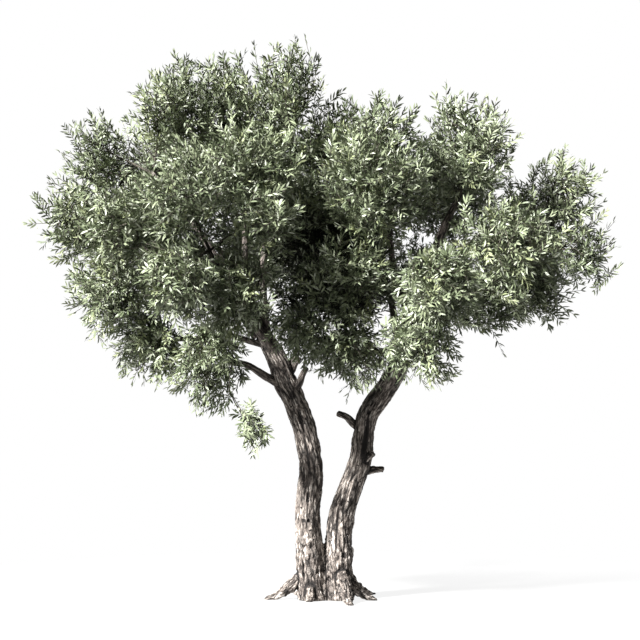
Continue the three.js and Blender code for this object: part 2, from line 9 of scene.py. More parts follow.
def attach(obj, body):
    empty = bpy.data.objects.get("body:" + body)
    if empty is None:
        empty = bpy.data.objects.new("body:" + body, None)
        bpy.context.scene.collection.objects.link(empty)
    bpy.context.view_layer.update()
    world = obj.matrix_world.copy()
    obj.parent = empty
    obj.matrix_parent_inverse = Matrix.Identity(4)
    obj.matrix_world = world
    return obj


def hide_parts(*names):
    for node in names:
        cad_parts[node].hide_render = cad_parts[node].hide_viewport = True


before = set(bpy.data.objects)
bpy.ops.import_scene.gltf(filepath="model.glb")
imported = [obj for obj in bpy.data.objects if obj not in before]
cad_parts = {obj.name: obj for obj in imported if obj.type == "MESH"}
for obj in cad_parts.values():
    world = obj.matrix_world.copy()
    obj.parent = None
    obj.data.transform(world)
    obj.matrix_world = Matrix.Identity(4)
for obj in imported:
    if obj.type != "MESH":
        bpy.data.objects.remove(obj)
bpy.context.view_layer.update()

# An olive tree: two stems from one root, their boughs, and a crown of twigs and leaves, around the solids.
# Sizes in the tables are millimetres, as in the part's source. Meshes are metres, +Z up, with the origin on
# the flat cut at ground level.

bl_info = {
    "name": "Olive Tree",
    "version": (1, 0, 0),
    "blender": (4, 5, 0),
    "location": "3D View > Sidebar > Olive Tree",
    "description": "Dresses the solids of a twin-stemmed olive tree with bark, twigs and leaves",
    "category": "Object",
}

# ---- Sizes shared with the solids, in millimetres ----

MM = 0.001
SEED = 1940
WANDER = 0.03  # how far a bough strays from a smooth run, as a share of its length
CLEARANCE = 4  # between a twig and the walls of its mass's space
REACH = 0.98  # of the way from a mass's middle to its edge, the furthest that its side twigs aim
USUAL_RADIUS = 440
TWIGS = 5  # side twigs on the stem of a mass of the usual radius, more or fewer with the mass's size
SPRAY_LENGTH = 440
SPRAY_SHARE = 1.1  # but no longer than this share of its mass's radius
TWIG_ROOT = 0.036  # radius of a mass's stem where it leaves the bough, as a share of the mass's radius
TWIG_TIP = 0.5  # of the radius at the root
SIDE_TWIG = 0.45  # radius of a side twig, as a share of the stem's where it leaves
ROOT_ASIDE = 0.5  # how far off the middle of a bough's tip a mass's stem begins, a share of its radius
LOW_CROWN = 2000  # twigs hang at this height,
HIGH_CROWN = 4200  # and rise at this one
HANG, RISE = -0.35, 0.55  # their lift at the two
BOUGH_RINGS = 6
UP = np.array([0.0, 0.0, 1.0])
GOLDEN_ANGLE = math.pi * (3 - math.sqrt(5))

# Each stem's line from the ground up, and its radius there.
STEMS = {
    "left_stem": [
        (-115, 0, -60, 136), (-138, 0, 340, 126), (-165, -10, 750, 112), (-131, -15, 1160, 104),
        (-191, 5, 1495, 103), (-285, 30, 1762, 99), (-350, 45, 1900, 107), (-415, 55, 2080, 96),
        (-500, 60, 2240, 84), (-575, 60, 2345, 70),
    ],
    "right_stem": [
        (126, 0, -60, 127), (120, 0, 340, 118), (129, 5, 695, 112), (215, 10, 975, 106),
        (298, 5, 1195, 100), (336, 0, 1440, 96), (372, -10, 1625, 93), (494, -25, 1816, 93),
        (605, -35, 1985, 92), (668, -40, 2135, 85), (700, -40, 2278, 70),
    ],
}

# The wood between the stems.
CROTCH = {"top": 560, "radius": 96}

# Roots that stand out of the foot: stem, heading, reach, height and radius where they leave it.
ROOTS = [
    ("left_stem", 180, 425, 270, 74),
    ("left_stem", 112, 430, 190, 62),
    ("left_stem", -100, 190, 210, 80),
    ("right_stem", -79, 450, 250, 82),
    ("right_stem", -12, 335, 200, 62),
    ("right_stem", 52, 520, 240, 64),
    ("right_stem", 100, 400, 200, 70),
]

# Dead limbs: stem, height, heading, rise, length, and radius at both ends.
STUBS = [
    ("left_stem", 1860, 20, 74, 300, 48, 41),
    ("right_stem", 1420, 176, 43, 320, 38, 26),
    ("right_stem", 1110, -42, 42, 262, 42, 24),
    ("right_stem", 1070, 5, 14, 268, 42, 27),
]

# Marks on the stems: stem, height, heading, half length, half width, and how far each stands out or goes in.
MARKS = [
    ("right_stem", 1445, -79, 150, 17, -24),
    ("right_stem", 1653, -94, 16, 11, -20),
    ("right_stem", 840, -108, 24, 9, -18),
    ("right_stem", 806, -132, 13, 9, -15),
    ("right_stem", 392, -68, 20, 13, -18),
    ("right_stem", 668, 2, 50, 26, 14),
    ("right_stem", 400, 4, 50, 26, 12),
    ("right_stem", 1560, -60, 60, 40, 10),
    ("left_stem", 905, -95, 40, 9, -14),
    ("left_stem", 703, -108, 13, 11, -15),
    ("left_stem", 690, -84, 12, 10, -12),
    ("left_stem", 275, -124, 65, 10, -20),
    ("left_stem", 512, -72, 40, 95, 9),
    ("left_stem", 1290, -100, 120, 9, -9),
    ("left_stem", 1560, -96, 90, 8, -8),
    ("right_stem", 600, -104, 150, 8, -9),
]

# Boughs: name, stem, height on it, heading, rise, length, radius at both ends, and lift at the tip.
BOUGHS = [
    ("left_outer", "left_stem", 2345, 178, 38, 1380, 62, 27, 0.2),
    ("left_upper", "left_stem", 2225, 175, 56, 1930, 46, 24, 0.1),
    ("left_level", "left_stem", 2225, -169, 5, 820, 31, 20, -0.1),
    ("left_low", "left_stem", 1850, -161, 21, 660, 46, 23, -0.4),
    ("left_rising", "left_stem", 2300, 154, 78, 1550, 36, 22, 0),
    ("left_inner", "left_stem", 2270, -3, 83, 1760, 40, 22, 0),
    ("left_short", "left_stem", 1770, -51, 55, 330, 42, 27, 0.1),
    ("left_front", "left_stem", 2150, -121, 40, 1380, 42, 24, 0.2),
    ("left_back", "left_stem", 2080, 126, 48, 1570, 43, 24, 0.2),
    ("right_main", "right_stem", 2278, 20, 68, 1480, 62, 26, 0.1),
    ("right_outer", "right_stem", 2225, 0, 35, 1530, 45, 23, 0.2),
    ("right_rising", "right_stem", 2240, -152, 83, 1450, 38, 22, 0),
    ("right_inner", "right_stem", 2170, 131, 60, 1430, 36, 21, 0.1),
    ("right_low", "right_stem", 2150, -175, 5, 450, 30, 18, 0.3),
    ("right_front", "right_stem", 2120, -68, 32, 1030, 40, 23, 0.1),
    ("right_back", "right_stem", 2180, 56, 43, 1560, 40, 23, 0.2),
]

# Masses of foliage: name, bough, heading, rise and way from the bough's tip to the mass's middle, radius,
# and how tall the mass is for its width.
MASSES = [
    ("low_middle", "left_low", -114, -3, 242, 400, 1.25),
    ("hanging", "left_low", -44, -55, 726, 225, 1.1),
    ("left_foot", "left_level", -163, 28, 762, 400, 1.05),
    ("low_left", "left_level", -170, -11, 292, 365, 1.12),
    ("left_tip", "left_outer", -171, 16, 705, 400, 1.1),
    ("left_face", "left_outer", -98, 6, 810, 420, 1),
    ("left_rear", "left_outer", 117, 8, 740, 500, 1),
    ("upper_outer", "left_upper", 167, 16, 489, 385, 1.32),
    ("upper_left", "left_upper", -58, 54, 691, 415, 1.12),
    ("upper_rear", "left_upper", 86, 10, 860, 535, 1),
    ("top_left", "left_rising", -158, 78, 636, 465, 1.08),
    ("top_face", "left_rising", -84, 2, 1010, 420, 1),
    ("top_rear", "left_rising", 81, 20, 860, 515, 1),
    ("top_peak", "left_inner", -113, 72, 543, 425, 1.2),
    ("top_saddle", "left_inner", 7, 15, 396, 390, 1.1),
    ("between", "left_short", -95, 46, 436, 335, 1.2),
    ("face_upper", "left_front", -116, 44, 620, 460, 1.1),
    ("face_lower", "left_front", -111, -32, 632, 430, 1),
    ("face_clump", "left_front", -32, 17, 600, 285, 1.15),
    ("face_inner", "left_front", -29, -64, 473, 385, 1),
    ("rear_left", "left_back", 139, -20, 730, 545, 1),
    ("rear_middle", "left_back", 58, 1, 710, 530, 1),
    ("low_inner", "right_low", -95, -9, 206, 375, 1.2),
    ("heart_low", "right_low", -102, 62, 553, 430, 1),
    ("heart", "right_inner", -123, -6, 524, 480, 1),
    ("rear_heart", "right_inner", 93, -1, 750, 520, 1),
    ("crest", "right_rising", -121, 70, 438, 385, 1.12),
    ("crest_face", "right_rising", -105, -4, 494, 370, 1.2),
    ("crown_right", "right_main", -42, 81, 539, 415, 1.12),
    ("crown_outer", "right_main", -60, 42, 623, 262, 1.3),
    ("crown_rear", "right_main", 93, 13, 870, 515, 1),
    ("right_shoulder", "right_outer", 45, 62, 594, 395, 1.18),
    ("right_tip", "right_outer", 7, -2, 400, 330, 1.25),
    ("right_foot", "right_outer", -105, -51, 504, 365, 1),
    ("right_face", "right_outer", -112, 0, 870, 420, 1),
    ("front_right", "right_front", -97, -2, 504, 415, 1.02),
    ("front_low", "right_front", 166, -65, 466, 385, 1.3),
    ("front_outer", "right_front", 21, -10, 436, 365, 1.0),
    ("rear_right", "right_back", 9, -8, 640, 515, 1),
    ("rear_right_low", "right_back", 115, -39, 630, 525, 1),
]

# Long shoots that stand out of a mass: heading, rise and reach from its middle.
SPURS = {
    "upper_outer": (-136, 29, 490),
    "crown_right": (-162, 44, 455),
    "right_shoulder": (-43, 18, 460),
    "front_outer": (23, -74, 450),
}

# ---- Sizes of the scene alone, in millimetres where nothing else is said ----

# The crown and its shoots.
CROWN_MIDDLE = np.array([0.0, 100.0, 2900.0])
CROWN_HALF = np.array([2500, 1900, 1900])
CORE_MIDDLE = np.array([0.0, 100.0, 3400.0])  # the core of the crown has no hollows between its tufts
CORE_HALF = np.array([1900.0, 1250.0, 850.0])
TUFT = 180  # across one tuft of shoots
MELT = 2  # how sharply one mass gives way to the next
FILLED = 0.74  # shoots end at this share of a mass's reach, more or less with the tufts
LOW_MASS = 2750  # a mass below this height is denser,
LOW_SPACING = 0.86  # with its shoots at this share of their usual spacing
STAND_OUT = (60, 200)  # how much further a long shoot reaches
LONGER = 1.5  # and how much longer its leafy end is
SHOOT_SEED = 2001
SHOOT_TIP = 0.35  # of the radius at its root
STEM_STEPS = 60  # along a stem of the tree
BOUGH_STEPS = 30
MAIN_STEPS = 12  # along the stem of a mass
SIDE_STEPS = 8  # along its side twigs

# Leaves. A kind is its place in the list.
LEAF_KINDS = ["deep", "mid", "light", "silver", "young"]
DEEP, MID, LIGHT, SILVER, YOUNG = range(5)
DEEP_CROWN = 0.64  # deeper in the crown than this, leaves are dark: partly old, partly painted shade
MID_SHARE = 0.42  # of the shoots further out have grown leaves,
YOUNG_SHARE = 0.1  # and this share young ones
GROWN_LESS_LIT_FROM, GROWN_LESS_LIT_THERE = 0.55, 0.6  # this far back on a shoot, the second share of its lit leaves take the grown colour: partly their age, partly less painted light
OLD_AND_SHADED_FROM, OLD_AND_SHADED_THERE = 0.75, 0.5  # and this far back, the second share of all leaves take the old colour: partly their age, partly painted shade
SILVER_SHARE = 0.12  # of all leaves show their backs
OPENING = (24, 56)  # degrees between a shoot and its leaves, at its tip and further back
OPENING_STRAY = 8  # degrees
FACE_STRAY = 0.42  # of a unit vector
SIZE_LUCK = (0.85, 1.15)  # leaves differ this much from each other
LEAVES_IN_PIECE = 45000  # keeps each piece below 200,000 triangles

# Relief of the bark.
GRAIN_TURN = 0.00045  # radians by which the grain turns round a limb for each millimetre along it
RIDGE_LEVEL = 0.8  # what stands higher than this share of a ridge is lifted, the rest sinks
GRAIN_MELT = 12  # over which the grain of one limb gives way to the next
FOLD_WIDTH, FOLD_DEPTH = 9, 7  # of the fold where two limbs meet
KNOB_TOP, KNOB_FADE = 700, 500  # knobs end at the first height, and are full the second below it
FEWEST_KNOBS = 0.12  # what is left of them above
GROUND_FADE = 30  # the relief is weaker over this height above the ground
SWELLING = 0.55  # of a bough where it leaves its stem, as a share of its radius
BOUGH_RELIEF = 0.3  # of the trunk's

# Patterns of the bark: widths and curls in grain sizes, the rest in shares of what they act on.
SWIRL, FIBRE, PLATE, PATCH, PIT = 1.6, 0.5, 1.5, 3.2, 1.7
CURL = (1.5, 0.5)  # how far the grain is bent at the foot, and above it
CURL_HEIGHT = (0.3, 0.9)  # metres
STRETCH = 0.16  # the width of a fibre or plate, as a share of its length
CRACK_WIDTH = 0.19
CRACKED = (0.33, 0.53)  # where patches begin to crack, and are cracked in full
PIT_EDGE = (0.1, 0.2)  # from a pit's floor to its rim
FIBRE_WEIGHT, PATCH_WEIGHT = 1.7, 0.3  # in the tone, where the relief has 1
TONES = (1.37, 1.98)  # the darkest and the palest sum of fibres, relief and patches
HOLLOW_SHADE = "#130e0b"  # near black in cracks and pits: painted shade in these hollows
HOLLOW_WEIGHT = -0.8  # in the surface, where the fibres have 1
TRUNK_BUMP, BOUGH_BUMP, TWIG_BUMP = 0.008, 0.005, 0.0008  # metres
BOUGH_GRAIN = 0.7  # of the trunk's grain size
TWIG_GRAIN = 0.012  # metres

# Colours of each bark, from its furrows to its worn ridges. Through the relief, the dark end is partly
# painted shade in furrows and hollows.
WEATHERED = [(0.0, "#1a1512"), (0.25, "#4b433d"), (0.5, "#756c65"), (0.75, "#a0968d"), (1.0, "#dcd4cb")]
YOUNG_BARK = [(0.0, "#1a1512"), (0.3, "#453d37"), (0.6, "#6a615a"), (0.85, "#8b8179"), (1.0, "#aaa097")]
TWIG_BARK = [(0.0, "#312c25"), (0.5, "#5c564b"), (1.0, "#7b7769")]

# The stage, in metres.
FLOOR_RADIUS = 4.5
FADE_START = 1.2  # from here to its rim the floor fades into the backdrop, so its shadow has no hard end
FLOOR_DROP = 0.0005  # below the cut at ground
KEY_FROM = Vector((-0.95, -0.72, 0.85))
KEY_ANGLE = 8  # degrees across
FILL_COLOUR = (0.96, 0.98, 1, 1)
CAMERA_PLACE = Vector((-0.053, -15, 1.8))
CAMERA_AIM = Vector((-0.053, 0, 2.474))
CAMERA_LENS = 94.8

# ---- Small helpers ----


def seeded(seed):
    """The same numbers in the same order for the same seed, as in the solids."""
    mask = 0xFFFFFFFF
    state = seed & mask

    def draw():
        nonlocal state
        state = (state + 0x6D2B79F5) & mask
        t = ((state ^ (state >> 15)) * (state | 1)) & mask
        t ^= (t + (t ^ (t >> 7)) * (t | 61)) & mask
        return ((t ^ (t >> 14)) & mask) / 4294967296

    return draw


def lerp(start, end, share):
    return start + (end - start) * share


def unit(vector):
    return vector / np.linalg.norm(vector, axis=-1, keepdims=True)


def towards(heading, rise):
    """The unit vector with a heading and a rise in degrees."""
    h, r = math.radians(heading), math.radians(rise)
    return np.array([math.cos(h) * math.cos(r), math.sin(h) * math.cos(r), math.sin(r)])


def square_to(axis):
    """Two unit vectors square to an axis and to each other."""
    guide = UP if abs(axis[2]) < 0.9 else np.array([1.0, 0.0, 0.0])
    across = unit(np.cross(guide, axis))
    return across, np.cross(axis, across)


def bezier(controls, t):
    """Points of a quadratic or cubic curve; controls are (..., 3) arrays and t is (..., 1)."""
    if len(controls) == 3:
        a, b, c = controls
        return a * (1 - t) ** 2 + b * 2 * t * (1 - t) + c * t**2
    a, b, c, d = controls
    return a * (1 - t) ** 3 + b * 3 * t * (1 - t) ** 2 + c * 3 * t**2 * (1 - t) + d * t**3


# ---- Lines of the limbs ----


def stem_line(name, steps):
    """A stem's line and radii at even steps, on a smooth curve through its listed places."""
    rows = np.array(STEMS[name], float)
    places = np.vstack([2 * rows[0] - rows[1], rows, 2 * rows[-1] - rows[-2]])
    last = len(rows) - 1
    points, radii = [], []
    for i in range(steps + 1):
        at = i / steps * last
        below = min(int(at), last - 1)
        w = at - below
        p0, p1, p2, p3 = places[below : below + 4, :3]
        t0, t1 = (p2 - p0) / 2, (p3 - p1) / 2
        points.append(p1 + t0 * w + (3 * (p2 - p1) - 2 * t0 - t1) * w**2 + (2 * (p1 - p2) + t0 + t1) * w**3)
        radii.append(lerp(rows[below, 3], rows[below + 1, 3], w))
    return np.array(points), np.array(radii)


def on_stem(name, height):
    """The point of a stem's line at a height, with the direction in which the stem runs there."""
    points, _ = stem_line(name, 200)
    higher = np.nonzero(points[:, 2] >= height)[0]
    above = higher[0] if len(higher) and higher[0] >= 1 else len(points) - 1
    return points[above], unit(points[above] - points[above - 1])


def bough_line(row, steps):
    """A bough leaves its stem partly along the stem's run, takes its own course, and wanders on the way."""
    _, stem, height, heading, rise, length, _, _, lift = row
    start, run = on_stem(stem, height)
    course = towards(heading, rise)
    tip = start + course * length
    leave = unit(run * 0.45 + course * 0.55)
    arrive = unit(course + UP * lift)
    controls = (start, start + leave * length * 0.33, tip - arrive * length * 0.33, tip)
    draw = seeded(SEED + BOUGHS.index(row))
    across, over = square_to(course)
    phases = (draw() * 2 * math.pi, draw() * 2 * math.pi)
    points = []
    for i in range(steps + 1):
        share = i / steps
        stray = math.sin(math.pi * share) * WANDER * length
        point = bezier(controls, share)
        point = point + across * stray * math.sin(9 * share + phases[0])
        points.append(point + over * stray * math.sin(6 * share + phases[1]))
    return np.array(points)


def root_line(row, steps):
    stem, heading, reach, height, radius = row
    foot, _ = on_stem(stem, 1)
    out = towards(heading, 0)
    shares = np.linspace(0, 1, steps + 1)
    points = foot + out * lerp(30, reach, shares)[:, None]
    points[:, 2] = height * (1 - shares) ** 1.6
    return points, lerp(radius, radius * 0.32, shares)


def stub_line(row, steps):
    stem, height, heading, rise, length, radius, tip = row
    point, run = on_stem(stem, height)
    shares = np.linspace(0, 1, steps + 1)
    bend = np.sin(math.pi * shares)[:, None] * run * length * 0.12
    return point + towards(heading, rise) * (length * shares)[:, None] + bend, lerp(radius, tip, shares)


# ---- Spaces of the masses ----


def mass_spaces():
    """Each mass with its middle, where its stem begins, the half axes of its space, and its number."""
    spaces = []
    for index, (name, bough_name, heading, rise, away, radius, tall) in enumerate(MASSES):
        bough = next(row for row in BOUGHS if row[0] == bough_name)
        before, tip = bough_line(bough, BOUGH_RINGS)[-2:]
        leave = unit(tip - before)
        pole = towards(heading, rise)
        aside = unit(pole - leave * pole.dot(leave)) * bough[7] * ROOT_ASIDE
        spaces.append({
            "name": name,
            "index": index,
            "root": tip - leave * bough[7] + aside,
            "leave": leave,
            "pole": pole,
            "middle": tip + pole * away,
            "radius": radius,
            "half": np.array([radius, radius, radius * tall]),
            "seed": SEED + 100 + index,
        })
    return spaces


SPACES = mass_spaces()
MIDDLES = np.array([space["middle"] for space in SPACES])
RADII = np.array([space["radius"] for space in SPACES], float)
HALVES = np.array([space["half"] for space in SPACES], float)


def inside_space(space, points, reach=1.0, walls_only=False):
    """Which points lie in a mass's own space, clear of the walls between it and its neighbours."""
    points = np.atleast_2d(points)
    own = ((points - space["middle"]) ** 2).sum(1) - space["radius"] ** 2
    theirs = ((points[:, None] - MIDDLES) ** 2).sum(2) - RADII**2
    apart = np.linalg.norm(MIDDLES - space["middle"], axis=1)
    apart[space["index"]] = 1
    wall = (theirs - own[:, None]) / (2 * apart)
    wall[:, space["index"]] = CLEARANCE
    inside = (wall >= CLEARANCE).all(1)
    if walls_only:
        return inside
    return inside & (np.linalg.norm((points - space["middle"]) / space["half"], axis=1) <= reach)


def edge_of_space(space, direction):
    share = REACH
    while share > 0.3:
        point = space["middle"] + direction * space["half"] * share
        if inside_space(space, point)[0]:
            return point
        share -= 0.06
    return None


def rise_at(height):
    """Twigs hang in the low crown and rise in the high crown."""
    share = np.clip((height - LOW_CROWN) / (HIGH_CROWN - LOW_CROWN), 0, 1)
    return lerp(HANG, RISE, share)


def spread(count, pole, turn):
    """Directions spread evenly from the pole to well past the equator, as seeds sit in a sunflower."""
    across, over = square_to(pole)
    directions = []
    for i in range(count):
        along = 1 - (i + 0.6) / count * 1.7
        ring = math.sqrt(1 - along * along)
        angle = i * GOLDEN_ANGLE + turn
        directions.append(pole * along + across * ring * math.cos(angle) + over * ring * math.sin(angle))
    return directions


# ---- Growth of one mass ----


def main_twigs(space):
    """A mass's stem and side twigs, by the rule of the solids, each a smooth line with its root's radius."""
    draw = seeded(space["seed"])
    course = unit(space["pole"] + UP * rise_at(space["middle"][2]))
    target = edge_of_space(space, course)
    if target is None:
        target = space["middle"]
    spray = min(SPRAY_LENGTH, space["radius"] * SPRAY_SHARE)
    end = target - course * spray * 0.9
    leave = unit(space["pole"] + space["leave"] * 0.45)
    bend = space["root"] + leave * np.linalg.norm(end - space["root"]) * 0.45
    stem = bezier((space["root"], bend, end), np.linspace(0, 1, MAIN_STEPS + 1)[:, None])
    radius = space["radius"] * TWIG_ROOT
    lines = [(stem, radius)]
    count = int(TWIGS * (space["radius"] / USUAL_RADIUS) ** 1.6 + 0.5)
    reaches = []
    for direction in spread(count, space["pole"], draw() * 2 * math.pi):
        reaches.append((edge_of_space(space, direction), 0.66 + 0.26 * direction.dot(space["pole"])))
    if space["name"] in SPURS:
        heading, rise, reach = SPURS[space["name"]]
        reaches.append((space["middle"] + towards(heading, rise) * reach, 0.6))
    for target, share in reaches:
        if target is None:
            continue
        at = share * MAIN_STEPS
        below = min(int(at), MAIN_STEPS - 1)
        place = lerp(stem[below], stem[below + 1], at - below)
        run = unit(stem[below + 1] - stem[below])
        distance = np.linalg.norm(target - place)
        end = lerp(place, target, 0.66)
        bend = place + run * distance * 0.12 + (target - place) * 0.3
        line = bezier((place, bend, end), np.linspace(0, 1, SIDE_STEPS + 1)[:, None])
        lines.append((line, radius * lerp(1, TWIG_TIP, share) * SIDE_TWIG))
    return lines


def crown_reach(points):
    """How far out points lie, as a share of a mass's reach, where neighbouring masses melt together."""
    shares = (((points[:, None] - MIDDLES) / HALVES) ** 2).sum(2)
    blend = np.exp(MELT * (1 - shares)).sum(1)
    return np.sqrt(np.maximum(1 - np.log(np.maximum(blend, 1e-9)) / MELT, 0))


def shoot_targets(space, rng, spacing, outer):
    """Points that shoots reach for: spread through the mass's own space, closer together towards its outside.

    The outside is uneven, with hollows between tufts, and between two masses the space runs on to the wall.
    """
    volume = 4 / 3 * math.pi * np.prod(space["half"])
    tries = int(volume / spacing**3 * 9)
    directions = unit(rng.normal(size=(tries, 3)))
    shares = rng.uniform(0.02, 1, tries) ** outer * 1.35
    points = space["middle"] + directions * space["half"] * shares[:, None]
    points = points[inside_space(space, points, 1.4)]
    tufts = noise_at(points, (TUFT, TUFT, TUFT * 2.8), 31)
    tufts += 0.4 * noise_at(points, (TUFT * 2, TUFT * 2, TUFT), 32)
    core = np.linalg.norm((points - CORE_MIDDLE) / CORE_HALF, axis=1) < 1
    points = points[core | (crown_reach(points) <= FILLED + 0.5 * np.clip(tufts, -0.6, 0.4))]
    kept = np.empty((0, 3))
    for point in points:
        if len(kept) == 0 or ((kept - point) ** 2).sum(1).min() > spacing**2:
            kept = np.vstack([kept, point])
    return kept


def grow_mass(space, rng, settings):
    """The twigs and shoots of one mass. Each shoot starts from the nearest wood and ends at its own point."""
    lines = main_twigs(space)
    nodes = np.vstack([line[2:] for line, _ in lines])
    runs = unit(np.vstack([np.gradient(line, axis=0)[2:] for line, _ in lines]))
    closer = LOW_SPACING if space["middle"][2] < LOW_MASS else 1
    targets = shoot_targets(space, rng, settings.shoot_spacing / MM * closer, settings.outer_bias)
    if space["name"] in SPURS:
        heading, rise, reach = SPURS[space["name"]]
        targets = np.vstack([targets, space["middle"] + towards(heading, rise) * reach])
    gaps = [((nodes - target) ** 2).sum(1).min() for target in targets]
    targets = targets[np.argsort(gaps)]
    crown_out = unit(targets - CROWN_MIDDLE)
    mass_out = (targets - space["middle"]) / space["half"]
    stray = rng.normal(size=targets.shape) * 0.5
    lift = rise_at(targets[:, 2:3]) * UP * settings.tropism
    arrive = unit(mass_out * 0.65 + crown_out * 0.45 + stray + lift)
    lengths = rng.uniform(0.7, 1.3, len(targets)) * settings.shoot_length / MM
    pushed = targets + arrive * rng.uniform(*STAND_OUT, (len(targets), 1))
    free = inside_space(space, pushed, 1.05) & (rng.random(len(targets)) < settings.long_share)
    targets[free] = pushed[free]
    lengths[free] *= LONGER
    shoots = []
    for target, heading, length in zip(targets, arrive, lengths):
        base = target - heading * length
        offset = base - nodes
        distance = np.linalg.norm(offset, axis=1)
        behind = 1 - (offset * runs).sum(1) / np.maximum(distance, 1)
        best = int(np.argmin(distance * (1 + 0.35 * behind)))
        start, run = nodes[best], runs[best]
        reach = np.linalg.norm(target - start)
        leave = unit(run * 0.7 + unit(target - start))
        controls = np.array([start, start + leave * reach * 0.3, target - heading * reach * 0.42, target])
        line = bezier(controls, np.linspace(0, 1, 7)[:, None])
        if not inside_space(space, line[3:], walls_only=True).all():
            continue
        shoots.append((controls, reach, length))
        nodes = np.vstack([nodes, line[2:5]])
        runs = np.vstack([runs, unit(np.gradient(line, axis=0)[2:5])])
    return lines, shoots


# ---- Meshes from arrays ----


def add_object(name, data):
    piece = bpy.data.objects.new(name, data)
    bpy.context.scene.collection.objects.link(piece)
    return piece


def mesh_from(name, vertices, faces, smooth=False):
    """A mesh of triangles from arrays of vertices in millimetres and of faces."""
    mesh = bpy.data.meshes.new(name)
    mesh.vertices.add(len(vertices))
    mesh.vertices.foreach_set("co", (vertices * MM).astype(np.float32).ravel())
    mesh.loops.add(faces.size)
    mesh.loops.foreach_set("vertex_index", faces.astype(np.int32).ravel())
    mesh.polygons.add(len(faces))
    mesh.polygons.foreach_set("loop_start", np.arange(0, faces.size, 3, dtype=np.int32))
    mesh.polygons.foreach_set("use_smooth", np.full(len(faces), smooth))
    mesh.update(calc_edges=True)
    return mesh


def tubes(lines, radii, sides=3):
    """Closed tubes along many lines of equally many points: lines is (n, k, 3) and radii is (n, k)."""
    n, k, _ = lines.shape
    chord = unit(lines[:, -1] - lines[:, 0])
    guide = np.where(np.abs(chord[:, 2:3]) < 0.75, UP, np.array([1.0, 0.0, 0.0]))
    run = unit(np.gradient(lines, axis=1))
    across = unit(np.cross(guide[:, None], run))
    over = np.cross(run, across)
    angles = np.arange(sides) / sides * 2 * math.pi
    ring = across[:, :, None] * np.cos(angles)[:, None] + over[:, :, None] * np.sin(angles)[:, None]
    vertices = (lines[:, :, None] + ring * radii[:, :, None, None]).reshape(-1, 3)
    faces = []
    for i in range(k - 1):
        for j in range(sides):
            low, nxt = i * sides + j, i * sides + (j + 1) % sides
            faces += [(low, nxt, nxt + sides), (low, nxt + sides, low + sides)]
    last = (k - 1) * sides
    for j in range(1, sides - 1):
        faces += [(0, j + 1, j), (last, last + j, last + j + 1)]
    faces = np.array(faces)
    return vertices, (faces[None] + (np.arange(n) * k * sides)[:, None, None]).reshape(-1, 3)


def leaves_on(shoots, rng, settings):
    """Opposite leaves along each shoot's outer end.

    Returns each leaf's root, tip, face direction, width, shoot, and share of the leafy end behind the tip.
    """
    controls = np.array([shoot[0] for shoot in shoots])
    reach = np.array([shoot[1] for shoot in shoots])
    leafy = np.minimum(np.array([shoot[2] for shoot in shoots]) * 1.15, reach * 0.97)
    pairs = settings.leaf_pairs
    behind_tip = (np.arange(pairs) + 0.35) / pairs
    behind_tip = behind_tip[None] + rng.uniform(-0.25, 0.25, (len(shoots), pairs)) / pairs
    t = 1 - behind_tip * (leafy / reach)[:, None]
    c = [controls[:, None, i] for i in range(4)]
    place = bezier(c, t[..., None])
    ahead = bezier(c, np.minimum(t + 0.02, 1)[..., None])
    behind = bezier(c, (t - 0.02)[..., None])
    axis = unit(ahead - behind)
    outward = unit(controls[:, 3] - CROWN_MIDDLE) * 0.5 + UP * 0.4
    outward = unit(outward + rng.normal(size=outward.shape) * 0.6)
    across = unit(np.cross(outward[:, None], axis))
    over = np.cross(axis, across)
    turn = 0.2 + np.where(np.arange(pairs) % 2 == 0, 0.45, -0.45)[None] + rng.normal(size=t.shape) * 0.3
    turn = turn[..., None]
    size = np.sin(np.clip(behind_tip, 0.04, 0.97) ** 0.55 * math.pi * 0.78 + 0.35)
    shoot_numbers = np.repeat(np.arange(len(shoots))[:, None], pairs, 1)
    both_sides = []
    for side in (1, -1):
        radial = across * np.cos(turn) * side + over * np.sin(turn)
        opening = lerp(*OPENING, np.clip(behind_tip * 1.6, 0, 1))
        opening = np.radians(opening + rng.normal(size=t.shape) * OPENING_STRAY)[..., None]
        course = axis * np.cos(opening) + radial * np.sin(opening)
        length = settings.leaf_length / MM * size * rng.uniform(*SIZE_LUCK, t.shape)
        face = unit(over + rng.normal(size=over.shape) * FACE_STRAY)
        width = settings.leaf_width / MM * (0.35 + 0.65 * size) * rng.uniform(*SIZE_LUCK, t.shape)
        tip = place + course * length[..., None]
        parts = (place, tip, face, width, shoot_numbers, behind_tip)
        both_sides.append([part.reshape(-1, *part.shape[2:]) for part in parts])
    return [np.concatenate(parts) for parts in zip(*both_sides)]


def leaf_mesh(roots, tips, faces, widths, rng):
    """Lance-shaped blades of four triangles each, bowed along their length."""
    along = tips - roots
    length = np.linalg.norm(along, axis=1, keepdims=True)
    side = unit(np.cross(faces, along))
    face = unit(np.cross(along, side))
    half = (widths / 2)[:, None]
    bow = length * rng.uniform(0.02, 0.1, (len(roots), 1))
    corners = [
        roots,
        roots + along * 0.3 + side * half * 0.86 + face * bow * 0.9,
        roots + along * 0.3 - side * half * 0.86 + face * bow * 0.9,
        roots + along * 0.66 + side * half * 0.84 + face * bow * 0.75,
        roots + along * 0.66 - side * half * 0.84 + face * bow * 0.75,
        tips - face * bow * 0.7,
    ]
    vertices = np.stack(corners, 1).reshape(-1, 3)
    pattern = np.array([(0, 2, 1), (1, 2, 4), (1, 4, 3), (3, 4, 5)])
    return vertices, (pattern[None] + (np.arange(len(roots)) * 6)[:, None, None]).reshape(-1, 3)


# ---- Limbs by extrusion ----


def deselect():
    bpy.ops.object.select_all(action="DESELECT")


def modify(piece, kind, **settings):
    """Adds a modifier with its settings and applies it."""
    modifier = piece.modifiers.new(kind.lower(), kind)
    for key, value in settings.items():
        setattr(modifier, key, value)
    bpy.ops.object.modifier_apply(modifier=modifier.name)


def finish_bark(piece, material):
    deselect()
    piece.select_set(True)
    bpy.ops.object.shade_smooth()
    piece.data.materials.append(material)


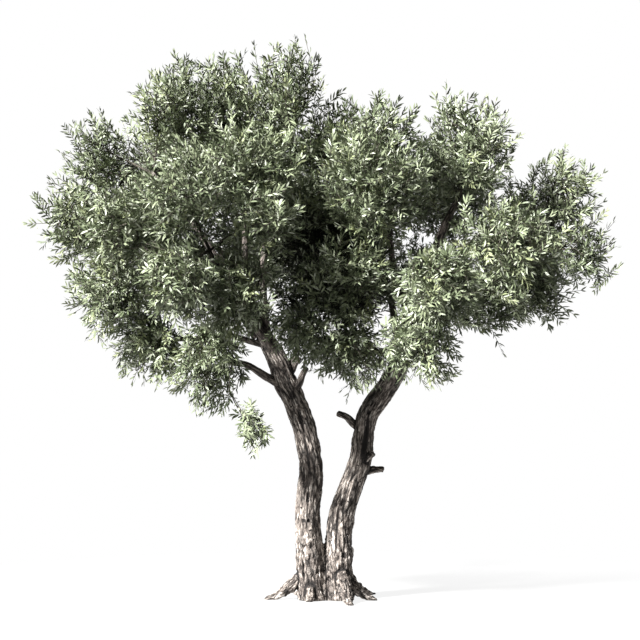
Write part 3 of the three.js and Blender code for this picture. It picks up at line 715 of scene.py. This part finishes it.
def limb(name, points, radii, sides):
    """A closed limb: a disc extruded from ring to ring along a line, turned and scaled at each."""
    deselect()
    points = [Vector(point * MM) for point in points]
    run = (points[1] - points[0]).normalized()
    turn = Vector((0, 0, 1)).rotation_difference(run).to_euler()
    bpy.ops.mesh.primitive_circle_add(
        vertices=sides, radius=radii[0] * MM, fill_type="NGON", location=points[0], rotation=turn
    )
    piece = bpy.context.object
    piece.name = name
    bpy.ops.object.transform_apply(location=True, rotation=True, scale=True)
    bpy.ops.object.mode_set(mode="EDIT")
    bpy.ops.mesh.select_mode(type="FACE")
    bpy.ops.mesh.select_all(action="SELECT")
    for i in range(1, len(points)):
        after = points[min(i + 1, len(points) - 1)]
        onward = (after - points[i - 1]).normalized()
        bpy.ops.mesh.extrude_region_move(TRANSFORM_OT_translate={"value": points[i] - points[i - 1]})
        axis = run.cross(onward)
        if axis.length > 1e-6:
            matrix = Vector((0, 0, 1)).rotation_difference(axis.normalized()).to_matrix()
            bpy.ops.transform.rotate(
                value=run.angle(onward), orient_axis="Z", orient_type="GLOBAL", orient_matrix=matrix,
                orient_matrix_type="GLOBAL", constraint_axis=(False, False, True), center_override=points[i],
            )
        scale = radii[i] / radii[i - 1]
        bpy.ops.transform.resize(value=(scale, scale, scale), center_override=points[i])
        run = onward
    bpy.ops.mesh.select_all(action="SELECT")
    bpy.ops.mesh.normals_make_consistent(inside=False)
    bpy.ops.object.mode_set(mode="OBJECT")
    return piece


def joined(pieces, name):
    deselect()
    for piece in pieces:
        piece.select_set(True)
    bpy.context.view_layer.objects.active = pieces[0]
    bpy.ops.object.join()
    piece = bpy.context.object
    piece.name = name
    piece.data.name = name
    return piece


def coordinates(mesh, what="co"):
    values = np.empty(len(mesh.vertices) * 3)
    mesh.vertices.foreach_get(what, values)
    return values.reshape(-1, 3)


# ---- Bark ----


def noise_at(points, scale, seed):
    """Smooth noise between about -1 and 1 at many points. Scale is its period along each axis."""
    shifted = points / np.array(scale) + np.array([seed * 7.3, seed * 3.1, seed * 5.7])
    return np.array([noise.noise(Vector(point)) for point in shifted])


def along_limb(points, line, radii):
    """How far points lie off a limb's axis, its radius there, and their place in its straightened grain."""
    steps = np.linalg.norm(np.diff(line, axis=0), axis=1)
    travelled = np.concatenate([[0], np.cumsum(steps)])
    best = np.full(len(points), np.inf)
    radius = np.zeros(len(points))
    grain = np.zeros((len(points), 3))
    across = None
    for i in range(len(line) - 1):
        run = unit(line[i + 1] - line[i])
        across = square_to(run)[0] if across is None else unit(across - run * across.dot(run))
        over = np.cross(run, across)
        share = np.clip((points - line[i]) @ run / steps[i], 0, 1)
        off = points - line[i] - run * (share * steps[i])[:, None]
        distance = np.linalg.norm(off, axis=1)
        nearer = distance < best
        along = (travelled[i] + share * steps[i])[nearer]
        angle = along * GRAIN_TURN
        x, y = (off @ across)[nearer], (off @ over)[nearer]
        best[nearer] = distance[nearer]
        radius[nearer] = lerp(radii[i], radii[i + 1], share)[nearer]
        turned = [x * np.cos(angle) - y * np.sin(angle), x * np.sin(angle) + y * np.cos(angle), along]
        grain[nearer] = np.stack(turned, 1)
    return best, radius, grain


def furrows(grain, width, seed):
    """Long ridges and the furrows between them, from 0 in a furrow to 1 on a ridge."""
    warp = noise_at(grain, (90, 90, 160), seed + 9)[:, None] * np.array([12, 12, 0])
    wide = np.abs(noise_at(grain + warp, (width, width, width * 5), seed))
    fine = np.abs(noise_at(grain + warp, (width * 0.5, width * 0.5, width * 1.6), seed + 1))
    return np.clip(wide * 3.2, 0, 1) ** 0.6, np.clip(fine * 3.2, 0, 1) ** 0.7


def marks_at(points):
    """The lift of the marks on the stems: hollows, a groove, cracks and swellings."""
    lift = np.zeros(len(points))
    for name, height, heading, half_length, half_width, depth in MARKS:
        line, radii = stem_line(name, STEM_STEPS)
        place, run = on_stem(name, height)
        out = towards(heading, 0)
        out = unit(out - run * out.dot(run))
        middle = place + out * np.interp(height, line[:, 2], radii)
        offset = points - middle
        across = (offset @ np.cross(run, out)) / half_width
        along = (offset @ run) / half_length
        facing = (points - place) @ out > 0
        lift += depth * np.exp(-(across**2) - along ** (4 if depth < 0 else 2)) * facing
    return lift


def add_attribute(mesh, name, kind, values):
    attribute = mesh.attributes.new(name, kind, "POINT")
    field = "vector" if kind == "FLOAT_VECTOR" else "value"
    attribute.data.foreach_set(field, values.astype(np.float32).ravel())


# ---- Materials ----


def linear(hex_colour):
    """A linear colour from an sRGB hex value."""
    channels = [int(hex_colour[i : i + 2], 16) / 255 for i in (1, 3, 5)]
    return tuple(c / 12.92 if c <= 0.04045 else ((c + 0.055) / 1.055) ** 2.4 for c in channels) + (1.0,)


def add_node(tree, kind, links=None, **settings):
    """Adds a node with its settings; values for its inputs and links into them are given by socket name."""
    node = tree.nodes.new(kind)
    inputs = settings.pop("inputs", {})
    for key, value in settings.items():
        setattr(node, key, value)
    for key, value in inputs.items():
        node.inputs[key].default_value = value
    for key, source in (links or {}).items():
        tree.links.new(source, node.inputs[key])
    return node


def new_material(name):
    material = bpy.data.materials.new(name)
    material.use_nodes = True
    material.node_tree.nodes.clear()
    return material, material.node_tree


def ramp_stops(node, stops):
    """Gives a colour ramp its stops, each a place and a linear colour."""
    elements = node.color_ramp.elements
    while len(elements) > len(stops):
        elements.remove(elements[-1])
    while len(elements) < len(stops):
        elements.new(1)
    for element, (position, colour) in zip(elements, stops):
        element.position = position
        element.color = colour


def bark_material(name, colours, grain_size, bump):
    """Living olive bark, dry and matt: grey ridges worn pale, cracks between its plates, and small pits. The
    cracks and pits are painted near black, and the relief makes furrows, hollows and the fold between limbs
    darker: painted shade.

    Its patterns follow the grain, in metres: long fibres, cracks in patches, and broad changes of tone. Near
    the ground the grain is curled.
    """
    material, tree = new_material(name)
    grain = add_node(tree, "ShaderNodeAttribute", attribute_name="grain").outputs["Vector"]
    # The relief attribute darkens the colour in furrows, hollow marks and the fold between limbs: painted
    # shade.
    relief = add_node(tree, "ShaderNodeAttribute", attribute_name="relief").outputs["Fac"]

    swirl = add_node(
        tree, "ShaderNodeTexNoise", {"Vector": grain},
        inputs={"Scale": 1 / (grain_size * SWIRL), "Detail": 2.0},
    )
    place = add_node(tree, "ShaderNodeTexCoord").outputs["Object"]
    height = add_node(tree, "ShaderNodeSeparateXYZ", {0: place}).outputs["Z"]
    curl = add_node(
        tree, "ShaderNodeMapRange", {"Value": height},
        inputs={
            "From Min": CURL_HEIGHT[0], "From Max": CURL_HEIGHT[1],
            "To Min": grain_size * CURL[0], "To Max": grain_size * CURL[1],
        },
    )
    bent = add_node(
        tree, "ShaderNodeVectorMath", {0: swirl.outputs["Color"], 1: curl.outputs[0], 2: grain},
        operation="MULTIPLY_ADD",
    ).outputs[0]
    long_way = add_node(
        tree, "ShaderNodeMapping", {"Vector": bent}, inputs={"Scale": (1, 1, STRETCH)}
    ).outputs[0]

    fibres = add_node(
        tree, "ShaderNodeTexNoise", {"Vector": long_way},
        inputs={"Scale": 1 / (grain_size * FIBRE), "Detail": 6.0, "Roughness": 0.68},
    ).outputs["Fac"]
    patchy = add_node(
        tree, "ShaderNodeTexNoise", {"Vector": grain},
        inputs={"Scale": 1 / (grain_size * PATCH), "Detail": 3.0},
    ).outputs["Fac"]

    plates = add_node(
        tree, "ShaderNodeTexVoronoi", {"Vector": long_way}, feature="DISTANCE_TO_EDGE",
        inputs={"Scale": 1 / (grain_size * PLATE), "Randomness": 1.0},
    ).outputs["Distance"]
    edges = add_node(
        tree, "ShaderNodeMapRange", {"Value": plates},
        inputs={"From Max": CRACK_WIDTH, "To Min": 1, "To Max": 0},
    ).outputs[0]
    cracked = add_node(
        tree, "ShaderNodeMapRange", {"Value": patchy}, inputs={"From Min": CRACKED[0], "From Max": CRACKED[1]}
    ).outputs[0]
    cracks = add_node(tree, "ShaderNodeMath", {0: edges, 1: cracked}, operation="MULTIPLY").outputs[0]
    spots = add_node(
        tree, "ShaderNodeTexVoronoi", {"Vector": bent},
        inputs={"Scale": 1 / (grain_size * PIT), "Randomness": 1.0},
    ).outputs["Distance"]
    pits = add_node(
        tree, "ShaderNodeMapRange", {"Value": spots},
        inputs={"From Min": PIT_EDGE[0], "From Max": PIT_EDGE[1], "To Min": 1, "To Max": 0},
    ).outputs[0]
    hollow = add_node(tree, "ShaderNodeMath", {0: cracks, 1: pits}, operation="MAXIMUM").outputs[0]

    # Tone: fibres and patches are the bark's own, and the relief adds painted shade where the bark is sunk.
    tone = add_node(
        tree, "ShaderNodeMath", {0: fibres, 2: relief}, operation="MULTIPLY_ADD", inputs={1: FIBRE_WEIGHT}
    ).outputs[0]
    tone = add_node(
        tree, "ShaderNodeMath", {0: patchy, 2: tone}, operation="MULTIPLY_ADD", inputs={1: PATCH_WEIGHT}
    ).outputs[0]
    tone = add_node(
        tree, "ShaderNodeMapRange", {"Value": tone}, inputs={"From Min": TONES[0], "From Max": TONES[1]}
    ).outputs[0]
    plain = add_node(tree, "ShaderNodeValToRGB", {"Fac": tone})
    ramp_stops(plain, [(share, linear(colour)) for share, colour in colours])
    # Cracks and pits take a near-black colour: painted shade in these hollows.
    colour = add_node(
        tree, "ShaderNodeMix", {6: plain.outputs["Color"], 0: hollow}, data_type="RGBA",
        inputs={7: linear(HOLLOW_SHADE)},
    ).outputs[2]
    surface = add_node(
        tree, "ShaderNodeMath", {0: hollow, 2: fibres}, operation="MULTIPLY_ADD", inputs={1: HOLLOW_WEIGHT}
    ).outputs[0]
    raised = add_node(tree, "ShaderNodeBump", {"Height": surface}, inputs={"Strength": 1.0, "Distance": bump})
    shader = add_node(
        tree, "ShaderNodeBsdfPrincipled", {"Base Color": colour, "Normal": raised.outputs["Normal"]},
        inputs={"Roughness": 0.9},
    )
    add_node(tree, "ShaderNodeOutputMaterial", {"Surface": shader.outputs["BSDF"]})
    return material


def leaf_material(name, colour):
    """Olive leaf, leathery with a waxy skin: a soft sheen over one plain colour."""
    material, tree = new_material(name)
    shader = add_node(
        tree, "ShaderNodeBsdfPrincipled", inputs={"Base Color": colour, "Roughness": 0.5, "IOR": 1.45}
    )
    add_node(tree, "ShaderNodeOutputMaterial", {"Surface": shader.outputs["BSDF"]})
    return material


# ---- Settings ----


def colour_property(name, description, value):
    return FloatVectorProperty(
        name=name, description=description, default=linear(value), size=4, min=0, max=1, subtype="COLOR"
    )


def length_property(name, description, value):
    return FloatProperty(
        name=name, description=description, default=value, min=0, subtype="DISTANCE", unit="LENGTH"
    )


class OliveBarkSettings(bpy.types.PropertyGroup):
    mesh_size: length_property("Mesh size", "Edge length of the trunk's mesh", 0.0074)
    ridge_width: length_property("Ridge width", "From one long ridge of bark to the next", 0.036)
    ridge_height: length_property("Ridge height", "From the floor of a furrow to the ridge beside it", 0.011)
    lump_height: length_property("Lump height", "How far old swellings stand out", 0.009)
    knob_height: length_property("Knob height", "How far knobs stand out at the foot", 0.014)
    grain_size: length_property("Grain size", "Scale of the bark's fibres, plates and pits", 0.03)
    bough_sides: IntProperty(name="Bough sides", description="Edges round a bough", default=14, min=6, max=32)


class OliveLeafSettings(bpy.types.PropertyGroup):
    shoot_spacing: length_property("Shoot spacing", "Least distance between the ends of two shoots", 0.092)
    shoot_length: length_property("Shoot length", "Leafy length of a usual shoot", 0.3)
    leaf_length: length_property("Leaf length", "Length of a full-grown leaf", 0.081)
    leaf_width: length_property("Leaf width", "Width of a full-grown leaf", 0.0178)
    leaf_pairs: IntProperty(
        name="Leaf pairs", description="Pairs of leaves on a shoot", default=10, min=3, max=20
    )
    outer_bias: FloatProperty(
        name="Outer bias", description="Below one, more shoots end near a mass's outside",
        default=0.45, min=0.1, max=1,
    )
    long_share: FloatProperty(
        name="Long shoots", description="Share of shoots that may stand out of the mass",
        default=0.3, min=0, max=1,
    )
    tropism: FloatProperty(
        name="Lift", description="How strongly shoots rise high in the crown and hang low in it",
        default=0.9, min=0,
    )
    # The old leaf colour is dark partly for age and partly as painted shade inside the crown.
    deep: colour_property("Old shaded leaf", "Leaves inside the crown", "#2f3521")
    mid: colour_property("Grown leaf", "Most leaves", "#5e674d")
    light: colour_property("Lit leaf", "Leaves on the outside of the crown", "#7d8569")
    silver: colour_property("Leaf back", "Leaves that show their silvery underside", "#adb29f")
    young: colour_property("Young leaf", "Leaves at the ends of new shoots", "#828965")


class OliveStageSettings(bpy.types.PropertyGroup):
    floor: colour_property("Floor", "Colour of the floor", "#424241")
    floor_glow: FloatProperty(
        name="Floor glow", description="Light that the floor gives by itself", default=0.88, min=0
    )
    key_strength: FloatProperty(
        name="Key light", description="Strength of the soft key light", default=16.8, min=0
    )
    fill_strength: FloatProperty(
        name="Fill light", description="Strength of the light all round", default=0.14, min=0
    )


# ---- Operators ----


class OLIVE_OT_stage(bpy.types.Operator):
    """Sets up the floor, the soft light and the camera"""

    bl_idname = "olive.stage"
    bl_label = "Stage"

    def execute(self, context):
        settings = context.scene.olive_stage
        deselect()
        bpy.ops.mesh.primitive_circle_add(
            vertices=96, radius=FLOOR_RADIUS, fill_type="NGON", location=(0, 0, -FLOOR_DROP)
        )
        floor = context.object
        floor.name = "floor"
        bpy.ops.object.transform_apply(location=True, rotation=True, scale=True)
        floor.data.materials.append(self.floor_material(settings))

        context.scene.world = self.sky(settings)
        context.scene.view_settings.view_transform = "Standard"

        key = bpy.data.lights.new("key", "SUN")
        key.energy = settings.key_strength
        key.angle = math.radians(KEY_ANGLE)
        add_object("key", key).rotation_euler = KEY_FROM.to_track_quat("Z", "Y").to_euler()

        camera = bpy.data.cameras.new("camera")
        camera.sensor_width = 36
        camera.lens = CAMERA_LENS
        camera.clip_end = 500
        camera_object = add_object("camera", camera)
        camera_object.location = CAMERA_PLACE
        camera_object.rotation_euler = (CAMERA_AIM - CAMERA_PLACE).to_track_quat("-Z", "Y").to_euler()
        context.scene.camera = camera_object
        return {"FINISHED"}

    def floor_material(self, settings):
        """Matt painted floor, pale, that fades into the backdrop towards its rim."""
        material, tree = new_material("painted_floor_matt")
        place = add_node(tree, "ShaderNodeTexCoord").outputs["Object"]
        away = add_node(tree, "ShaderNodeVectorMath", {0: place}, operation="LENGTH").outputs["Value"]
        fade = {"From Min": FADE_START, "From Max": FLOOR_RADIUS}
        rim = add_node(tree, "ShaderNodeMapRange", {"Value": away}, inputs=fade)
        paint = add_node(tree, "ShaderNodeValToRGB", {"Fac": rim.outputs["Result"]})
        ramp_stops(paint, [(0.0, settings.floor), (1.0, (0, 0, 0, 1))])
        fade.update({"To Min": settings.floor_glow, "To Max": 1.0})
        glow = add_node(tree, "ShaderNodeMapRange", {"Value": away}, inputs=fade)
        shader = add_node(
            tree, "ShaderNodeBsdfPrincipled",
            {"Base Color": paint.outputs["Color"], "Emission Strength": glow.outputs["Result"]},
            inputs={"Roughness": 0.9, "Emission Color": (1, 1, 1, 1)},
        )
        add_node(tree, "ShaderNodeOutputMaterial", {"Surface": shader.outputs["BSDF"]})
        return material

    def sky(self, settings):
        """A weak light from all round, with a white backdrop behind the tree."""
        world = bpy.data.worlds.new("soft_sky")
        world.use_nodes = True
        tree = world.node_tree
        tree.nodes.clear()
        seen = add_node(tree, "ShaderNodeLightPath")
        fill = add_node(
            tree, "ShaderNodeBackground", inputs={"Color": FILL_COLOUR, "Strength": settings.fill_strength}
        )
        backdrop = add_node(tree, "ShaderNodeBackground", inputs={"Color": (1, 1, 1, 1), "Strength": 1.0})
        both = add_node(
            tree, "ShaderNodeMixShader",
            {"Fac": seen.outputs["Is Camera Ray"], 1: fill.outputs[0], 2: backdrop.outputs[0]},
        )
        add_node(tree, "ShaderNodeOutputWorld", {"Surface": both.outputs[0]})
        return world


class OLIVE_OT_trunk(bpy.types.Operator):
    """Models the two stems, their foot, roots and dead limbs as one skin, with the bark's relief"""

    bl_idname = "olive.trunk"
    bl_label = "Trunk"

    def execute(self, context):
        settings = context.scene.olive_bark
        lines = [stem_line(name, STEM_STEPS) for name in STEMS]
        lines += [root_line(row, 10) for row in ROOTS]
        lines += [stub_line(row, 8) for row in STUBS]
        pieces = [limb(f"limb_{i}", line, radii, 20) for i, (line, radii) in enumerate(lines)]
        top, wide = CROTCH["top"], CROTCH["radius"]
        middle = np.array([(2.0, 0.0, height) for height in (-60, top * 0.55, top)])
        pieces.append(limb("crotch", middle, np.array([wide, wide * 0.7, 4]), 16))
        trunk = joined(pieces, "trunk")
        modify(trunk, "REMESH", mode="VOXEL", voxel_size=settings.mesh_size)
        modify(trunk, "SMOOTH", factor=0.5, iterations=5)
        bpy.ops.object.mode_set(mode="EDIT")
        bpy.ops.mesh.select_all(action="SELECT")
        bpy.ops.mesh.bisect(plane_co=(0, 0, 0), plane_no=(0, 0, 1), use_fill=True, clear_inner=True)
        bpy.ops.object.mode_set(mode="OBJECT")
        add_relief(trunk.data, lines, settings, 1.0)
        bark = bark_material("olive_bark_weathered", WEATHERED, settings.grain_size, TRUNK_BUMP)
        finish_bark(trunk, bark)
        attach(trunk, "root")
        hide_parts("foot", "left_stem", "right_stem")
        return {"FINISHED"}


def add_relief(mesh, lines, settings, strength):
    """Moves a bark skin's vertices along their normals, each by the grain of the limb that is nearest."""
    points = coordinates(mesh) / MM
    normals = coordinates(mesh, "normal")
    nearness, grains = [], []
    for index, (line, radii) in enumerate(lines):
        distance, radius, grain = along_limb(points, line, radii)
        nearness.append(distance - radius)
        grains.append(grain + np.array([0, 0, index * 1000.0]))
    nearness = np.array(nearness)
    weights = np.exp(-(nearness - nearness.min(0)) / GRAIN_MELT)
    weights /= weights.sum(0)
    ridge, fine = np.zeros(len(points)), np.zeros(len(points))
    for index, grain in enumerate(grains):
        chosen = weights[index] > 0.03
        if chosen.any():
            wide, thin = furrows(grain[chosen], settings.ridge_width / MM, index)
            ridge[chosen] += wide * weights[index][chosen]
            fine[chosen] += thin * weights[index][chosen]
    lumps = noise_at(points, (170, 170, 260), 21) + 0.5 * noise_at(points, (70, 70, 120), 22)
    knobs = noise_at(points, (52, 52, 60), 23) + 0.6 * noise_at(points, (26, 26, 32), 24)
    knobs *= np.clip((KNOB_TOP - points[:, 2]) / KNOB_FADE, FEWEST_KNOBS, 1)
    height = settings.ridge_height / MM
    lift = (ridge - RIDGE_LEVEL) * height + (fine - RIDGE_LEVEL) * height * 0.5
    lift += lumps * settings.lump_height / MM + knobs * settings.knob_height / MM
    first, second = np.sort(nearness, axis=0)[:2]
    fold = np.exp(-(((second - first) / FOLD_WIDTH) ** 2)) * strength
    marks = marks_at(points) - FOLD_DEPTH * fold
    lift = lift * strength + marks
    normals[points[:, 2] < 1] *= (1, 1, 0)
    off_ground = np.clip(points[:, 2] / GROUND_FADE, 0, 1)
    points = points + normals * (lift * lerp(0.4, 1, off_ground))[:, None]
    points[:, 2] = np.maximum(points[:, 2], 0)
    mesh.vertices.foreach_set("co", (points * MM).astype(np.float32).ravel())
    grain = np.array(grains)[nearness.argmin(0), np.arange(len(points))]
    # The relief for the colour: lower in furrows, sunk knobs, hollow marks and the fold where limbs meet,
    # which the bark's material paints darker as painted shade.
    relief = 0.35 + ridge * 0.25 + fine * 0.2 + np.clip(knobs, -1, 1) * 0.15 + np.clip(marks / 14, -1, 0.05)
    add_attribute(mesh, "grain", "FLOAT_VECTOR", grain * MM)
    add_attribute(mesh, "relief", "FLOAT", np.clip(relief, 0, 1))
    mesh.update()


class OLIVE_OT_boughs(bpy.types.Operator):
    """Models the boughs, each swollen where it leaves its stem and tapering to the mass that it carries"""

    bl_idname = "olive.boughs"
    bl_label = "Boughs"

    def execute(self, context):
        settings = context.scene.olive_bark
        shares = np.linspace(0, 1, BOUGH_STEPS + 1)
        lines = []
        for row in BOUGHS:
            length, root, tip = row[5:8]
            swell = 1 + SWELLING * np.exp(-((shares * length / (root * 2.2)) ** 2))
            lines.append((bough_line(row, BOUGH_STEPS), lerp(root, tip, shares) * swell))
        sides = settings.bough_sides
        pieces = [limb(f"bough_{i}", line, radii, sides) for i, (line, radii) in enumerate(lines)]
        boughs = joined(pieces, "boughs")
        modify(boughs, "SUBSURF", levels=1, render_levels=1)
        add_relief(boughs.data, lines, settings, BOUGH_RELIEF)
        grain_size = settings.grain_size * BOUGH_GRAIN
        bark = bark_material("olive_bark_young", YOUNG_BARK, grain_size, BOUGH_BUMP)
        finish_bark(boughs, bark)
        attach(boughs, "root")
        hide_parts(*(f"bough_{row[0]}" for row in BOUGHS))
        return {"FINISHED"}


class OLIVE_OT_foliage(bpy.types.Operator):
    """Grows every mass from its bough's tip: twigs, shoots and leaves, joined into pieces by kind"""

    bl_idname = "olive.foliage"
    bl_label = "Twigs and leaves"

    def execute(self, context):
        settings = context.scene.olive_leaves
        rng = np.random.default_rng(SHOOT_SEED)
        mains, shoots = [], []
        for space in SPACES:
            lines, grown = grow_mass(space, rng, settings)
            mains += lines
            shoots += grown
        self.add_twigs(mains, shoots)
        self.add_leaves(shoots, rng, settings)
        return {"FINISHED"}

    def add_twigs(self, mains, shoots):
        material = bark_material("olive_twig_bark", TWIG_BARK, TWIG_GRAIN, TWIG_BUMP)
        parts = []
        for places in (MAIN_STEPS + 1, SIDE_STEPS + 1):
            chosen = [(line, radius) for line, radius in mains if len(line) == places]
            lines = np.array([line for line, _ in chosen])
            radii = np.array([radius for _, radius in chosen])[:, None] * np.linspace(1, 0.4, places)
            parts.append(tubes(lines, radii, 6))
        controls = [np.array([shoot[0][i] for shoot in shoots])[:, None] for i in range(4)]
        lines = bezier(controls, np.linspace(0, 1, 4)[None, :, None])
        base = 1.6 + np.array([shoot[1] for shoot in shoots]) / 140
        fine = tubes(lines, base[:, None] * np.linspace(1, SHOOT_TIP, 4))
        vertices = np.vstack([parts[0][0], parts[1][0]])
        faces = np.vstack([parts[0][1], parts[1][1] + len(parts[0][0])])
        for name, (points, triangles) in {"twigs": (vertices, faces), "shoots": fine}.items():
            mesh = mesh_from(name, points, triangles, smooth=True)
            add_attribute(mesh, "grain", "FLOAT_VECTOR", points * MM)
            add_attribute(mesh, "relief", "FLOAT", np.full(len(points), 0.6))
            mesh.materials.append(material)
            add_foliage(name, mesh)

    def add_leaves(self, shoots, rng, settings):
        roots, tips, faces, widths, shoot_numbers, behind_tip = leaves_on(shoots, rng, settings)
        depth = crown_depth(np.array([shoot[0][3] for shoot in shoots]))
        luck = rng.random(len(shoots))
        # Shoots deep in the crown get the old leaf colour: partly their age, partly painted shade.
        of_shoot = np.where(depth > DEEP_CROWN, DEEP, np.where(luck < MID_SHARE, MID, LIGHT))
        of_shoot[(depth <= DEEP_CROWN) & (luck > 1 - YOUNG_SHARE)] = YOUNG
        # Further back on a shoot its leaves are darker: partly older, partly painted shade.
        kind = of_shoot[shoot_numbers]
        kind[(kind == LIGHT) & (behind_tip > GROWN_LESS_LIT_FROM) & (rng.random(len(kind)) < GROWN_LESS_LIT_THERE)] = MID
        kind[(behind_tip > OLD_AND_SHADED_FROM) & (rng.random(len(kind)) < OLD_AND_SHADED_THERE)] = DEEP
        kind[rng.random(len(kind)) < SILVER_SHARE] = SILVER
        for index, name in enumerate(LEAF_KINDS):
            material = leaf_material(f"olive_leaf_{name}", getattr(settings, name))
            every = np.nonzero(kind == index)[0]
            pieces = np.array_split(every, math.ceil(len(every) / LEAVES_IN_PIECE))
            for number, chosen in enumerate(pieces, 1):
                blades = leaf_mesh(roots[chosen], tips[chosen], faces[chosen], widths[chosen], rng)
                mesh = mesh_from(f"leaves_{name}_{number}", *blades)
                mesh.materials.append(material)
                add_foliage(f"leaves_{name}_{number}", mesh)


def add_foliage(name, mesh):
    piece = add_object(name, mesh)
    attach(piece, "root")
    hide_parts(*(f"foliage_{space['name']}" for space in SPACES))


def crown_depth(points):
    """How deep points lie in the crown: 0 at its outside, and 1 at its middle."""
    return np.clip(1 - np.linalg.norm((points - CROWN_MIDDLE) / CROWN_HALF, axis=1), 0, 1)


# ---- The panel, and the script's run ----


class OLIVE_PT_tree(bpy.types.Panel):
    """The tree's pieces in the order in which they are made"""

    bl_idname = "OLIVE_PT_tree"
    bl_label = "Olive Tree"
    bl_space_type = "VIEW_3D"
    bl_region_type = "UI"
    bl_category = "Olive Tree"

    def draw(self, context):
        for group, operators in PANEL_ROWS:
            settings = getattr(context.scene, group)
            for key in settings.__annotations__:
                self.layout.prop(settings, key)
            for operator in operators:
                self.layout.operator(operator)


PANEL_ROWS = [
    ("olive_stage", ["olive.stage"]),
    ("olive_bark", ["olive.trunk", "olive.boughs"]),
    ("olive_leaves", ["olive.foliage"]),
]

GROUPS = {
    "olive_stage": OliveStageSettings,
    "olive_bark": OliveBarkSettings,
    "olive_leaves": OliveLeafSettings,
}

OPERATORS = (OLIVE_OT_stage, OLIVE_OT_trunk, OLIVE_OT_boughs, OLIVE_OT_foliage, OLIVE_PT_tree)


def register():
    for name, group in GROUPS.items():
        bpy.utils.register_class(group)
        setattr(bpy.types.Scene, name, PointerProperty(type=group))
    for operator in OPERATORS:
        bpy.utils.register_class(operator)


def unregister():
    for operator in reversed(OPERATORS):
        bpy.utils.unregister_class(operator)
    for name, group in GROUPS.items():
        delattr(bpy.types.Scene, name)
        bpy.utils.unregister_class(group)


def main():
    register()
    bpy.ops.olive.stage()
    bpy.ops.olive.trunk()
    bpy.ops.olive.boughs()
    bpy.ops.olive.foliage()
    bpy.context.view_layer.update()


if __name__ == "__main__":
    main()
